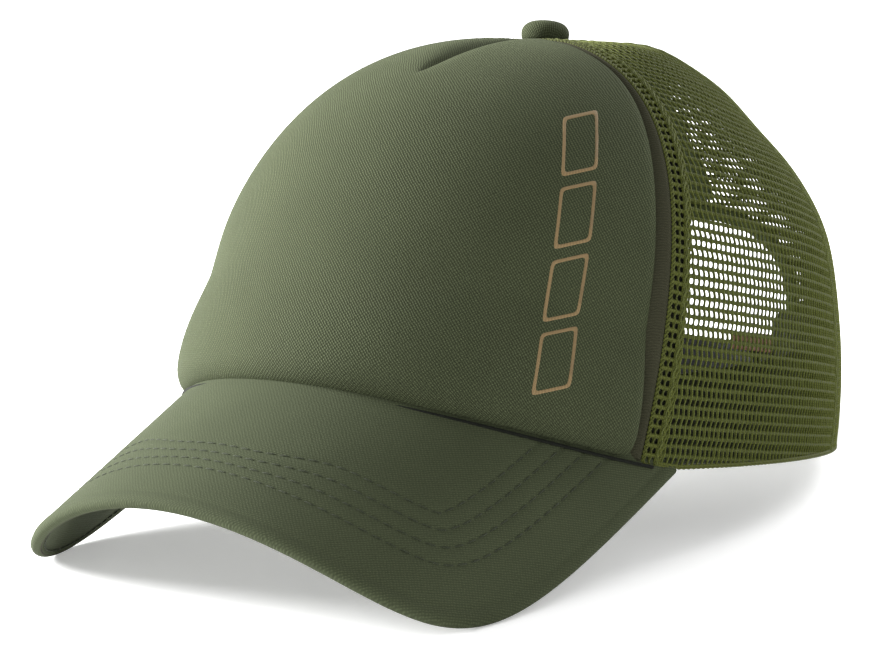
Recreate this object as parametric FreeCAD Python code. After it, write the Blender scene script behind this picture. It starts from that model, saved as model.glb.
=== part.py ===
import FreeCAD, Part
import math
import os

# Trucker mesh cap, standing on a table on the two side lobes of its visor and the back of its rim.
# The cap is drawn in its own frame first: the rim seam lies in the plane z = 0, the visor points
# along -Y, +X is the wearer's left and +Z is up through the button. stand() then tips the finished
# pieces into the resting pose, with the lowest points on z = 0.
# A place on the crown is (theta, t): theta runs round the head from 0 at the visor to 180 at the
# back, in degrees, positive on the wearer's left, and t climbs from 0 at the rim to 1 at the button.

Vector = FreeCAD.Vector

# ---- crown: handles of the front, side and rear meridians, as (distance from axis, height) ----
CROWN_HEIGHT = 106.0
CROWN_SHIFT = 3.5                       # the button sits this far behind the middle of the rim
FRONT_LINE = [(98.7, 0.0), (94.1, 71.7), (57.7, 111.0), (0.0, CROWN_HEIGHT)]
SIDE_LINE = [(81.6, 0.0), (88.1, 71.5), (50.5, 112.9), (0.0, CROWN_HEIGHT)]
REAR_LINE = [(99.5, 0.0), (100.9, 63.9), (60.6, 118.6), (0.0, CROWN_HEIGHT)]

# ---- layers, as depths below the outer surface of the crown ----
FABRIC = (0.0, 0.6)
FOAM = (0.65, 3.6)
STRIP = (0.3, 1.9)
BAND = (0.0, 1.8)
MESH = (0.1, 1.1)
TAPE = (1.15, 1.65)
FRONT_TAPE = (3.65, 4.15)
SWEATBAND_THICKNESS = 2.0
SWEATBAND_DEPTH = (4.4, 2.2, 6.4)       # at the front, at the sides, over the ends of the straps
LABEL_THICKNESS = 0.4
GAP = 0.05                              # sewn pieces lie this far apart

# ---- seams ----
FOAM_EDGE = (59.0, 11.0, -93.0, 7.7)    # angle at the rim, lean, curl over the top and its power
STRIP_EDGE = (62.0, 14.0, -47.4, 5.06)
BAND_EDGE = (65.5, 14.0, 0.0, 1.0)
FOAM_TOP = (48.0, 0.82, 0.90)           # angle and t where a seam leaves its side run, t at the middle
STRIP_TOP = (53.0, 0.845, 0.94)
BAND_TOP = (79.0, 0.975, 0.985)
SIDE_RUN = 0.75                         # share of a front seam that climbs the side of the crown
SIDE_BACK_SEAM = 115.0
CROWN_TOP_T = 0.985                     # panels end at the hole of the button's tack
SEAM_MARGIN = 0.012                     # panels stop this far in t short of a shared seam end
TAPE_WIDTH = 13.0
TAPE_TOP_T = 0.95
TAPE_NARROWS = (0.7, 0.55)              # from this t up, and the share of its width lost at the top
FRONT_TAPE_RUN = (0.16, 0.68)
SWEATBAND_HEIGHT = (23.5, 36.8)         # over the visor and beside the rear opening
SWEATBAND_END = 155.5
SWEATBAND_EASE = ((69.3, 87.3), (133.0, 147.0))     # angles where its depth changes
SWEATBAND_RISE = (69.3, 150.0)          # angles between which its top edge climbs

# ---- foam panel ----
FOAM_BULGE = 1.6
FOAM_BULGE_HEIGHT = 34.0
DART_DEPTH = 2.5
DART_WIDTH = 9.0
DART_RISE = (0.62, 0.72)                # t where the dart starts and where it is deepest
DART_FADE = (0.86, 0.93)

# ---- visor: a bent board, part of a cylinder whose crest line falls to the front ----
VISOR_RADIUS = 85.2
VISOR_FALL = 32.3
VISOR_CREST_Z = 15.1
VISOR_CORNER = 69.3
VISOR_SIDE_ANGLE = 92.6
VISOR_SIDE_HANDLE = 91.4
VISOR_FRONT_HANDLE = 89.4
VISOR_LENGTH = 49.0
VISOR_TUCK = 3.8                        # the visor's inner edge lies this far inside the crown
VISOR_TOP_COVER = (0.0, 0.6)
VISOR_INSERT = (0.65, 2.45)
VISOR_UNDER_COVER = (2.5, 3.1)
VISOR_EDGE = 3.2                        # width of the rolled edge binding
VISOR_EDGE_SWELL = 0.25                 # the binding stands this far above and below the covers
VISOR_END_SHARE = 0.985                 # the board's horns stop just short of the corners
RIM_EASE = 50.0                         # degrees over which the rim levels out behind the visor

# ---- rear opening and its snap straps ----
ARCH_HALF_WIDTH = 30.0
ARCH_SPRING_Z = 38.0
ARCH_RISE = 22.0
BINDING_WIDTH = 4.5
BINDING = (-0.5, 1.6)
BINDING_SPAN = (150.0, 210.0, 0.50)     # first and last angle and highest t of the opening
BACK_TAPE_Z = 55.0
STRAP_CENTRE_Y = 31.9
HOLE_STRAP_RADIUS = 64.4
PEG_STRAP_RADIUS = 62.8
STRAP_THICKNESS = 1.3
STRAP_Z = (5.5, 24.5)
STRAP_TIP_ROUND = 8.0
STRAP_EDGE_EASE = 0.35
HINGE_X = 28.0
HINGE_GAP = 0.4
PEG_PITCH = 7.66                        # degrees round the strap's arc
PEG_COUNT = 5
PEG_RADIUS = 1.7
PEG_HEAD = (2.0, 0.7)
PEG_STANDS_OUT = 0.7
HOLE_RADIUS = 2.5
STRAP_TIP_ANGLE = 16.9
ANCHOR_END_X = 40.5
PEG_ANCHOR_THICKNESS = 2.9

# ---- button ----
BUTTON_BASE_Z = 107.3
BUTTON_RADIUS = 6.5
BUTTON_HEIGHT = 4.9
BUTTON_WALL = 0.6
BUTTON_FOOT = 0.94                      # share of the radius at its base
BUTTON_SIDE = 0.35                      # share of the height where it is widest
BUTTON_SHOULDER = (0.72, 0.88)          # shares of the radius and height of its rounded shoulder
TACK_RADIUS = 1.1
TACK_HEAD = (0.1, 0.8)                  # lower and upper height above the button's base
TACK_ROOM = 0.4                         # between the tack's head and the shell
WASHER = (6.0, 0.8)
WASHER_DEPTH = 2.2                      # the washer's top lies this far below the crown's peak

# ---- small pieces ----
PRINT_BARS = 4
PRINT_FOOT = (45.5, 18.0)               # angle and height of the lowest bar's foot
PRINT_LEAN = 0.055                      # degrees per millimetre of height
PRINT_BAR = (9.5, 15.0)
PRINT_GAP = 2.6
PRINT_LINE = 1.1
PRINT_SLANT = 2.4
PRINT_LAYER = (-0.3, -0.05)
SIZE_TAB = (8.5, 25.7, 22.5, 27.8)      # x and z limits of the small tab on the peg strap
SIZE_TAB_THICKNESS = 0.5
LABEL = (20.0, 6.0, 22.0)               # half width, lower and upper distance above the rim

# ---- resting pose ----
REST_PITCH = 9.84
REST_LIFT = 15.93
REST_BACK = 19.58


def bernstein(t):
    s = 1.0 - t
    return [s ** 3, 3 * s * s * t, 3 * s * t * t, t ** 3]


def smooth(value, low, high):
    k = min(max((value - low) / (high - low), 0.0), 1.0)
    return k * k * (3 - 2 * k)


def crown_surface(theta, t):
    """Point of the crown's outer surface."""
    c = math.cos(math.radians(theta))
    s = math.sin(math.radians(theta))
    end_line = FRONT_LINE if c > 0 else REAR_LINE
    b = bernstein(t)
    reach = sum(b[i] * end_line[i][0] for i in range(4))
    width = sum(b[i] * SIDE_LINE[i][0] for i in range(4))
    height = sum(b[i] * ((1 - c * c) * SIDE_LINE[i][1] + c * c * end_line[i][1]) for i in range(4))
    return Vector(width * s, CROWN_SHIFT * (b[2] + b[3]) - reach * c, height)


def crown_normal(theta, t):
    """Outward unit normal of the crown."""
    across = crown_surface(theta + 0.5, t) - crown_surface(theta - 0.5, t)
    up = crown_surface(theta, t + 0.004) - crown_surface(theta, t - 0.004)
    return across.cross(up).normalize()


def crown_point(theta, t, depth=0.0):
    return crown_surface(theta, t) - crown_normal(theta, t) * depth


def t_at_height(theta, z):
    """The t at which the meridian theta reaches height z."""
    low = -0.06
    high = 0.7
    for _ in range(30):
        middle = 0.5 * (low + high)
        if crown_surface(theta, middle).z < z:
            low = middle
        else:
            high = middle
    return 0.5 * (low + high)


def visor_top_z(x, y):
    """Height of the visor board's top surface."""
    fall = math.radians(VISOR_FALL)
    drop = VISOR_RADIUS - math.sqrt(VISOR_RADIUS ** 2 - x * x)
    return VISOR_CREST_Z + (y + FRONT_LINE[0][0]) * math.tan(fall) - drop / math.cos(fall)


def rim_height(theta):
    """Height of the crown's lower edge: it rides on the visor and levels out behind it."""
    corner = crown_surface(VISOR_CORNER, 0.0)
    if abs(theta) <= VISOR_CORNER:
        base = crown_surface(theta, 0.0)
        return visor_top_z(base.x, base.y)
    share = max(1.0 - (abs(theta) - VISOR_CORNER) / RIM_EASE, 0.0)
    return visor_top_z(corner.x, corner.y) * share ** 2


def rim_t(theta):
    return t_at_height(theta, rim_height(theta))


def above_rim_t(theta, rise):
    return t_at_height(theta, rim_height(theta) + rise)


def arc_degrees(theta, t, millimetres):
    """The angle that a width along the crown takes up at (theta, t)."""
    step = (crown_surface(theta + 0.5, t) - crown_surface(theta - 0.5, t)).Length
    return millimetres / step


def front_point(theta, t, depth=0.0):
    """Crown point of the padded front: it bulges above the visor and dips along the top dart."""
    rise = max(crown_surface(theta, t).z - rim_height(theta), 0.0)
    bulge = FOAM_BULGE * math.sin(math.pi * min(rise / FOAM_BULGE_HEIGHT, 1.0))
    window = smooth(t, *DART_RISE) * (1 - smooth(t, *DART_FADE))
    side = crown_surface(theta, t).x / DART_WIDTH
    dip = DART_DEPTH * window * math.exp(-side * side)
    return crown_point(theta, t, depth - bulge + dip)


# ---- seam lines of the front: foam edge, strip edge, mesh band edge ----
def edge_angle(edge, t):
    foot, lean, curl, power = edge
    return foot + lean * t + curl * max(t, 0.0) ** power


def foam_edge_angle(t):
    return edge_angle(FOAM_EDGE, t)


def strip_edge_angle(t):
    return edge_angle(STRIP_EDGE, t)


def band_edge_angle(t):
    return edge_angle(BAND_EDGE, t)


def front_seam(run, angle_of_t, top):
    """(theta, t) on a front seam: run 0 at the rim, SIDE_RUN at the top corner, 1 at mid front."""
    turn_angle, turn_t, middle_t = top
    if run <= SIDE_RUN:
        start = rim_t(angle_of_t(0.0))
        t = start + (turn_t - start) * run / SIDE_RUN
        return angle_of_t(t), t
    share = (run - SIDE_RUN) / (1 - SIDE_RUN)
    return angle_of_t(turn_t) * (1 - share), turn_t + (middle_t - turn_t) * (1 - (1 - share) ** 2)


def foam_seam(run):
    return front_seam(run, foam_edge_angle, FOAM_TOP)


def strip_seam(run):
    return front_seam(run, strip_edge_angle, STRIP_TOP)


def band_seam(run):
    return front_seam(run, band_edge_angle, BAND_TOP)


# ---- solids ----
def slab(outer_grid, inner_grid):
    """Closed solid between two surfaces through matching grids of points."""
    surfaces = []
    for grid in (outer_grid, inner_grid):
        surface = Part.BSplineSurface()
        surface.interpolate(grid)
        surfaces.append(surface)
    faces = [surface.toShape() for surface in surfaces]
    u0, u1, v0, v1 = surfaces[0].bounds()
    p0, p1, q0, q1 = surfaces[1].bounds()
    for outer_at, inner_at in ((u0, p0), (u1, p1)):
        outer_edge = surfaces[0].uIso(outer_at).toShape()
        inner_edge = surfaces[1].uIso(inner_at).toShape()
        faces.append(Part.makeRuledSurface(outer_edge, inner_edge))
    for outer_at, inner_at in ((v0, q0), (v1, q1)):
        outer_edge = surfaces[0].vIso(outer_at).toShape()
        inner_edge = surfaces[1].vIso(inner_at).toShape()
        faces.append(Part.makeRuledSurface(outer_edge, inner_edge))
    skin = Part.makeCompound(faces)
    skin.sewShape(0.01)
    shell = skin.Shells[0] if skin.Shells else Part.makeShell(skin.Faces)
    solid = Part.makeSolid(shell)
    if solid.Volume < 0:
        solid.reverse()
    return solid


def patch(place, depths, across, up, point=crown_point):
    """Slab of the crown; place(u, v) gives (theta, t), depths are two numbers or functions."""
    grids = []
    for depth in depths:
        rows = []
        for i in range(across + 1):
            row = []
            for j in range(up + 1):
                theta, t = place(i / across, j / up)
                row.append(point(theta, t, depth(theta) if callable(depth) else depth))
            rows.append(row)
        grids.append(rows)
    return slab(grids[0], grids[1])


def between(first, second, u):
    return first[0] + (second[0] - first[0]) * u, first[1] + (second[1] - first[1]) * u


def mirrored(shape):
    return shape.mirror(Vector(0, 0, 0), Vector(1, 0, 0))


def front_panel(depths):
    def place(u, v):
        side = 2 * u - 1
        edge_theta, edge_t = foam_seam(v * SIDE_RUN)
        theta = side * edge_theta
        low = rim_t(theta)
        high = FOAM_TOP[2] - (FOAM_TOP[2] - FOAM_TOP[1]) * side * side
        start = rim_t(foam_edge_angle(0.0))
        climb = (edge_t - start) / (FOAM_TOP[1] - start)
        return theta, low + (high - low) * climb
    return clear_of_visor(patch(place, depths, 48, 30, front_point))


def seam_ribbon(inner_seam, outer_seam, depths):
    """Ribbon between two front seams on the wearer's left, from the rim to the mid front."""
    def place(u, v):
        run = v * (1 - SEAM_MARGIN)
        share = SEAM_MARGIN + u * (1 - 2 * SEAM_MARGIN)
        return between(inner_seam(run), outer_seam(run), share)
    return clear_of_visor(patch(place, depths, 4, 40))


def side_mesh():
    def place(u, v):
        low = rim_t(80.0)
        t = low + (CROWN_TOP_T - SEAM_MARGIN - low) * v
        first = band_edge_angle(t) + arc_degrees(90.0, t, GAP)
        last = SIDE_BACK_SEAM - arc_degrees(SIDE_BACK_SEAM, t, GAP)
        theta = first + (last - first) * u
        return theta, t + (rim_t(theta) - low) * (1 - v)
    return clear_of_visor(patch(place, MESH, 12, 24))


def back_mesh():
    def place(u, v):
        t = (CROWN_TOP_T - SEAM_MARGIN) * v
        first = SIDE_BACK_SEAM + arc_degrees(SIDE_BACK_SEAM, t, GAP)
        last = 180.0 - arc_degrees(180.0, t, GAP)
        theta = first + (last - first) * u
        return theta, t + rim_t(theta) * (1 - v)
    return patch(place, MESH, 14, 24).cut(arch_prism(ARCH_HALF_WIDTH + BINDING_WIDTH + GAP))


def arch_prism(half_width):
    """Prism of the rear opening's outline, running through the back of the crown."""
    rise = ARCH_RISE + half_width - ARCH_HALF_WIDTH
    spring = ARCH_SPRING_Z
    near_y = CROWN_SHIFT + SIDE_LINE[0][0] / 2
    far_y = REAR_LINE[0][0] + BINDING_WIDTH
    foot = -REST_LIFT
    left = Vector(half_width, near_y, spring)
    right = Vector(-half_width, near_y, spring)
    major = max(half_width, rise)
    ellipse = Part.Ellipse(Vector(0, near_y, spring), major, min(half_width, rise))
    ellipse.Axis = Vector(0, -1, 0)
    ellipse.XAxis = Vector(1, 0, 0)
    arch = Part.Arc(ellipse, 0.0, math.pi).toShape()
    legs = [
        Part.makeLine(right, Vector(-half_width, near_y, foot)),
        Part.makeLine(Vector(-half_width, near_y, foot), Vector(half_width, near_y, foot)),
        Part.makeLine(Vector(half_width, near_y, foot), left),
    ]
    wire = Part.Wire(Part.__sortEdges__([arch] + legs))
    return Part.Face(wire).extrude(Vector(0, far_y - near_y, 0))


def rear_opening_binding():
    def place(u, v):
        first, last, high = BINDING_SPAN
        theta = first + (last - first) * u
        low = rim_t(theta)
        return theta, low + (high - low) * v
    ring = patch(place, BINDING, 16, 14)
    ring = ring.common(arch_prism(ARCH_HALF_WIDTH + BINDING_WIDTH))
    return ring.cut(arch_prism(ARCH_HALF_WIDTH))


def seam_tape(theta_middle, low):
    """Cotton tape along a meridian, inside the crown; it narrows towards the button."""
    def place(u, v):
        t = low + (TAPE_TOP_T - low) * v
        half = arc_degrees(theta_middle, t, TAPE_WIDTH / 2) * (1 - TAPE_NARROWS[1] * smooth(t, TAPE_NARROWS[0], 1.0))
        return theta_middle + half * (2 * u - 1), t
    return patch(place, TAPE, 4, 24)


def front_seam_tape():
    def place(u, v):
        theta, t = foam_seam(FRONT_TAPE_RUN[0] + v * (FRONT_TAPE_RUN[1] - FRONT_TAPE_RUN[0]))
        return theta - arc_degrees(theta, t, TAPE_WIDTH) * (1 - u), t
    return patch(place, FRONT_TAPE, 4, 24, front_point)


def sweatband_depth(theta):
    """It lies under the foam, then against the mesh, then over the ends of the straps."""
    front, side, back = SWEATBAND_DEPTH
    behind_foam = smooth(abs(theta), *SWEATBAND_EASE[0])
    over_straps = smooth(abs(theta), *SWEATBAND_EASE[1])
    return front + (side - front) * behind_foam + (back - side) * over_straps


def sweatband_height(theta):
    first, last = SWEATBAND_RISE
    share = min(max((abs(theta) - first) / (last - first), 0.0), 1.0)
    return SWEATBAND_HEIGHT[0] + (SWEATBAND_HEIGHT[1] - SWEATBAND_HEIGHT[0]) * share


def sweatband():
    def place(u, v):
        theta = SWEATBAND_END * (2 * u - 1)
        return theta, above_rim_t(theta, sweatband_height(theta) * v)

    def back(theta):
        return sweatband_depth(theta) + SWEATBAND_THICKNESS
    return clear_of_visor(patch(place, (sweatband_depth, back), 64, 6))


def blank_label():
    def place(u, v):
        theta = math.degrees(LABEL[0] / FRONT_LINE[0][0]) * (2 * u - 1)
        return theta, above_rim_t(theta, LABEL[1] + (LABEL[2] - LABEL[1]) * v)
    outer = SWEATBAND_DEPTH[0] + SWEATBAND_THICKNESS + GAP
    return patch(place, (outer, outer + LABEL_THICKNESS), 8, 4)


# ---- visor, drawn flat in (across, forward) and bent round its cylinder ----
def visor_bend(across, forward, depth):
    angle = across / VISOR_RADIUS
    fall = math.radians(VISOR_FALL)
    radius = VISOR_RADIUS - depth
    drop = VISOR_RADIUS - radius * math.cos(angle)
    y = -FRONT_LINE[0][0] - forward * math.cos(fall) + drop * math.sin(fall)
    z = VISOR_CREST_Z - forward * math.sin(fall) - drop * math.cos(fall)
    return Vector(radius * math.sin(angle), y, z)


def visor_flat(x, y):
    """Flat coordinates of the board point whose top surface lies at (x, y)."""
    fall = math.radians(VISOR_FALL)
    angle = math.asin(x / VISOR_RADIUS)
    drop = VISOR_RADIUS * (1 - math.cos(angle))
    forward = (drop * math.sin(fall) - y - FRONT_LINE[0][0]) / math.cos(fall)
    return VISOR_RADIUS * angle, forward


def visor_inner(share, tuck):
    """Flat point of the inner edge; share runs from -1 to 1 across the cap."""
    theta = VISOR_CORNER * share
    edge = crown_point(theta, rim_t(theta), tuck)
    return visor_flat(edge.x, edge.y)


def visor_outer(share):
    """Flat point of the outer edge."""
    corner = crown_surface(VISOR_CORNER, 0.0)
    start = visor_flat(corner.x, corner.y)
    turn = math.radians(VISOR_SIDE_ANGLE)
    handle = (start[0] + VISOR_SIDE_HANDLE * math.cos(turn), start[1] + VISOR_SIDE_HANDLE * math.sin(turn))
    points = [start, handle, (VISOR_FRONT_HANDLE, VISOR_LENGTH), (0.0, VISOR_LENGTH)]
    b = bernstein(1.0 - abs(share))
    across = sum(b[i] * points[i][0] for i in range(4))
    forward = sum(b[i] * points[i][1] for i in range(4))
    return math.copysign(across, share), forward


def visor_edge_inset(share, inset):
    """Flat point of the outer edge, moved in square to it."""
    here = visor_outer(share)
    step = 0.002
    ahead = visor_outer(min(share + step, 1.0))
    behind = visor_outer(max(share - step, -1.0))
    run = (ahead[0] - behind[0], ahead[1] - behind[1])
    length = math.hypot(run[0], run[1])
    return here[0] + run[1] / length * inset, here[1] - run[0] / length * inset


def visor_layer(depths, inset, tuck=VISOR_TUCK):
    grids = []
    for depth in depths:
        rows = []
        for i in range(49):
            share = VISOR_END_SHARE * (i / 24.0 - 1.0)
            inner = visor_inner(share, tuck)
            outer = visor_edge_inset(share, inset)
            rows.append([visor_bend(*between(inner, outer, j / 10.0), depth) for j in range(11)])
        grids.append(rows)
    return slab(grids[0], grids[1])


def clear_of_visor(shape):
    """Trim a crown piece so that its lower edge follows the top of the visor."""
    room = (-GAP, VISOR_UNDER_COVER[1] + GAP)
    trimmed = shape.cut(visor_layer(room, -GAP, VISOR_TUCK + GAP))
    return max(trimmed.Solids, key=lambda solid: solid.Volume)


def ring_solid(rings):
    """Closed solid through a row of rings of points, with an end face on the first and last ring."""
    surface = Part.BSplineSurface()
    surface.interpolate([ring + [ring[0]] for ring in rings])
    u0, u1, _, _ = surface.bounds()
    ends = [Part.makeFilledFace([surface.uIso(u).toShape()]) for u in (u0, u1)]
    skin = Part.makeCompound([surface.toShape()] + ends)
    skin.sewShape(0.02)
    solid = Part.makeSolid(skin.Shells[0])
    if solid.Volume < 0:
        solid.reverse()
    return solid


def visor_edge_binding():
    """Rolled fabric edge: rounded sections along the visor's outer edge."""
    middle_depth = VISOR_UNDER_COVER[1] / 2
    half_height = middle_depth + VISOR_EDGE_SWELL
    ring_points = 12
    stations = 48
    rings = []
    for i in range(stations + 1):
        share = VISOR_END_SHARE * (2.0 * i / stations - 1.0)
        ring = []
        for k in range(ring_points):
            angle = 2 * math.pi * k / ring_points
            across, forward = visor_edge_inset(share, VISOR_EDGE / 2 * (1 + math.cos(angle)))
            ring.append(visor_bend(across, forward, middle_depth + half_height * math.sin(angle)))
        rings.append(ring)
    return ring_solid(rings)


# ---- snap straps ----
def strap_axis_angle(radius):
    return math.degrees(math.asin(HINGE_X / radius))


def strap_sector(radius, start, end, thickness, z_limits):
    """Part of an upright ring behind the head; angles are from +Y towards +X, in degrees."""
    low, high = z_limits
    corners = [(radius - thickness / 2, low), (radius + thickness / 2, low)]
    corners += [(radius + thickness / 2, high), (radius - thickness / 2, high)]
    points = [Vector(0, STRAP_CENTRE_Y + r, z) for r, z in corners]
    section = Part.Face(Part.makePolygon(points + [points[0]]))
    centre = Vector(0, STRAP_CENTRE_Y, 0)
    turn = Vector(0, 0, -1)
    sector = section.revolve(centre, turn, end - start)
    sector.rotate(centre, turn, start)
    return sector


def radial_cylinder(radius, angle, z, inner, outer):
    direction = Vector(math.sin(math.radians(angle)), math.cos(math.radians(angle)), 0)
    start = Vector(0, STRAP_CENTRE_Y, z) + direction * inner
    return Part.makeCylinder(radius, outer - inner, start, direction)


def rounded_tip(strap, tip_angle, radius):
    """Round the two corners at the strap's free end."""
    tip_edges = []
    for edge in strap.Edges:
        middle = edge.CenterOfMass
        angle = math.degrees(math.atan2(middle.x, middle.y - STRAP_CENTRE_Y))
        if abs(angle - tip_angle) < 0.05 and edge.Length < 2 * STRAP_THICKNESS:
            tip_edges.append(edge)
    return strap.makeFillet(radius, tip_edges)


def eased_edges(strap, root_angle):
    """Ease every edge of a strap's two faces except those at its hinge."""
    edges = []
    for edge in strap.Edges:
        middle = edge.CenterOfMass
        angle = math.degrees(math.atan2(middle.x, middle.y - STRAP_CENTRE_Y))
        if edge.Length > 2 * STRAP_THICKNESS and abs(angle - root_angle) > 1.0:
            edges.append(edge)
    return strap.makeFillet(STRAP_EDGE_EASE, edges)


def strap_body(radius, side):
    """Strap from its hinge on one side (+1 or -1) to its free end past the middle."""
    root = side * strap_axis_angle(radius)
    tip = -side * STRAP_TIP_ANGLE
    start, end = min(root, tip), max(root, tip)
    strap = strap_sector(radius, start, end, STRAP_THICKNESS, STRAP_Z)
    strap = eased_edges(rounded_tip(strap, tip, STRAP_TIP_ROUND), root)
    hinge = hinge_point(radius, side)
    knuckle = Part.makeCylinder(STRAP_THICKNESS / 2, STRAP_Z[1] - STRAP_Z[0], hinge, Vector(0, 0, 1))
    return strap.fuse(knuckle)


def hinge_point(radius, side):
    y = STRAP_CENTRE_Y + math.sqrt(radius ** 2 - HINGE_X ** 2)
    return Vector(side * HINGE_X, y, STRAP_Z[0])


def strap_middle_z():
    return (STRAP_Z[0] + STRAP_Z[1]) / 2


def station_angles(side):
    """Angles of a strap's pegs or holes, nearest its own hinge first."""
    first = -side * PEG_PITCH * PEG_COUNT / 2
    return [-first + (-side) * PEG_PITCH * i for i in range(PEG_COUNT)]


def hole_strap():
    strap = strap_body(HOLE_STRAP_RADIUS, 1)
    for angle in station_angles(1):
        inner = HOLE_STRAP_RADIUS - STRAP_THICKNESS
        outer = HOLE_STRAP_RADIUS + STRAP_THICKNESS
        strap = strap.cut(radial_cylinder(HOLE_RADIUS, angle, strap_middle_z(), inner, outer))
    return strap


def peg_strap():
    strap = strap_body(PEG_STRAP_RADIUS, -1)
    head_top = HOLE_STRAP_RADIUS + STRAP_THICKNESS / 2 + PEG_STANDS_OUT
    for angle in station_angles(-1):
        post = radial_cylinder(PEG_RADIUS, angle, strap_middle_z(), PEG_STRAP_RADIUS, head_top)
        head = radial_cylinder(PEG_HEAD[0], angle, strap_middle_z(), head_top - PEG_HEAD[1], head_top)
        strap = strap.fuse(post).fuse(head)
    return strap.removeSplitter()


def strap_anchor(radius, side, thickness):
    """Sewn end of a strap, inside the crown beside the rear opening."""
    near = math.degrees(math.asin((HINGE_X + STRAP_THICKNESS / 2 + HINGE_GAP) / radius))
    far = math.degrees(math.asin(ANCHOR_END_X / radius))
    start, end = (near, far) if side > 0 else (-far, -near)
    middle = radius + (thickness - STRAP_THICKNESS) / 2
    return strap_sector(middle, start, end, thickness, STRAP_Z)


def size_tab():
    inner = PEG_STRAP_RADIUS - STRAP_THICKNESS / 2 - GAP - SIZE_TAB_THICKNESS / 2
    start = math.degrees(math.asin(SIZE_TAB[0] / inner))
    end = math.degrees(math.asin(SIZE_TAB[1] / inner))
    return strap_sector(inner, start, end, SIZE_TAB_THICKNESS, (SIZE_TAB[2], SIZE_TAB[3]))


# ---- button, tack and washer on the crown's axis ----
def dome(radius, height, base_z):
    """Solid cap with a flat base and a rounded top, turned about the button's axis."""
    foot = Vector(0, 0, base_z)
    side = Vector(radius, 0, base_z + height * BUTTON_SIDE)
    shoulder = Vector(radius * BUTTON_SHOULDER[0], 0, base_z + height * BUTTON_SHOULDER[1])
    rim = Vector(radius * BUTTON_FOOT, 0, base_z)
    top = Vector(0, 0, base_z + height)
    crown_arc = Part.BSplineCurve()
    tangents = [Vector(0, 0, 1), Vector(-1, 0, 0.6), Vector(-1, 0, 0)]
    crown_arc.interpolate([side, shoulder, top], Tangents=tangents, TangentFlags=[True, True, True])
    edges = [
        Part.makeLine(foot, rim),
        Part.makeLine(rim, side),
        crown_arc.toShape(),
        Part.makeLine(top, foot),
    ]
    face = Part.Face(Part.Wire(edges))
    turned = face.revolve(Vector(0, 0, 0), Vector(0, 0, 1), 360)
    turned.translate(Vector(0, CROWN_SHIFT, 0))
    return turned


def disc(radius, low, high):
    return Part.makeCylinder(radius, high - low, Vector(0, CROWN_SHIFT, low), Vector(0, 0, 1))


def button_parts():
    base = BUTTON_BASE_Z
    cover_hollow = dome(BUTTON_RADIUS - BUTTON_WALL, BUTTON_HEIGHT - BUTTON_WALL, base - 0.01)
    shell_outside = dome(BUTTON_RADIUS - BUTTON_WALL - GAP, BUTTON_HEIGHT - BUTTON_WALL - GAP, base)
    shell_hollow = dome(BUTTON_RADIUS - 2 * BUTTON_WALL, BUTTON_HEIGHT - 2 * BUTTON_WALL - GAP, base - 0.01)
    washer_top = CROWN_HEIGHT - WASHER_DEPTH
    washer_base = washer_top - WASHER[1]
    head_radius = BUTTON_RADIUS - 2 * BUTTON_WALL - TACK_ROOM
    tack_head = disc(head_radius, base + TACK_HEAD[0], base + TACK_HEAD[1])
    tack_post = disc(TACK_RADIUS, washer_base - TACK_ROOM, base + TACK_HEAD[1])
    hole = disc(TACK_RADIUS + GAP, washer_base - 1, washer_top + 1)
    return {
        "button_cover": dome(BUTTON_RADIUS, BUTTON_HEIGHT, base).cut(cover_hollow),
        "button_shell": shell_outside.cut(shell_hollow),
        "button_tack": tack_head.fuse(tack_post),
        "button_washer": disc(WASHER[0], washer_base, washer_top).cut(hole),
    }


# ---- blank print on the front: a leaning column of slanted open bars ----
def print_bar(index):
    height = PRINT_BAR[1]
    foot_z = PRINT_FOOT[1] + index * (height + PRINT_GAP)

    def outline(inset, depths):
        def place(u, v):
            z = foot_z + inset + (height - 2 * inset) * v
            theta = PRINT_FOOT[0] + PRINT_LEAN * (z - PRINT_FOOT[1])
            across = (PRINT_BAR[0] - 2 * inset) * (u - 0.5)
            slanted_z = z + PRINT_SLANT * across / PRINT_BAR[0]
            t = t_at_height(theta, slanted_z)
            return theta + arc_degrees(theta, t, across), t
        return patch(place, depths, 6, 8, front_point)
    through = (PRINT_LAYER[0] - 0.5, PRINT_LAYER[1] + 0.5)
    return outline(0.0, PRINT_LAYER).cut(outline(PRINT_LINE, through))


def stand(shape):
    """Tip the cap into its resting pose, visor up, and set it down on z = 0."""
    pose = FreeCAD.Matrix()
    pose.rotateX(math.radians(-REST_PITCH))
    pose.move(Vector(0, REST_BACK, REST_LIFT))
    placed = shape.copy()
    placed.transformShape(pose, True)
    return placed


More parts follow.
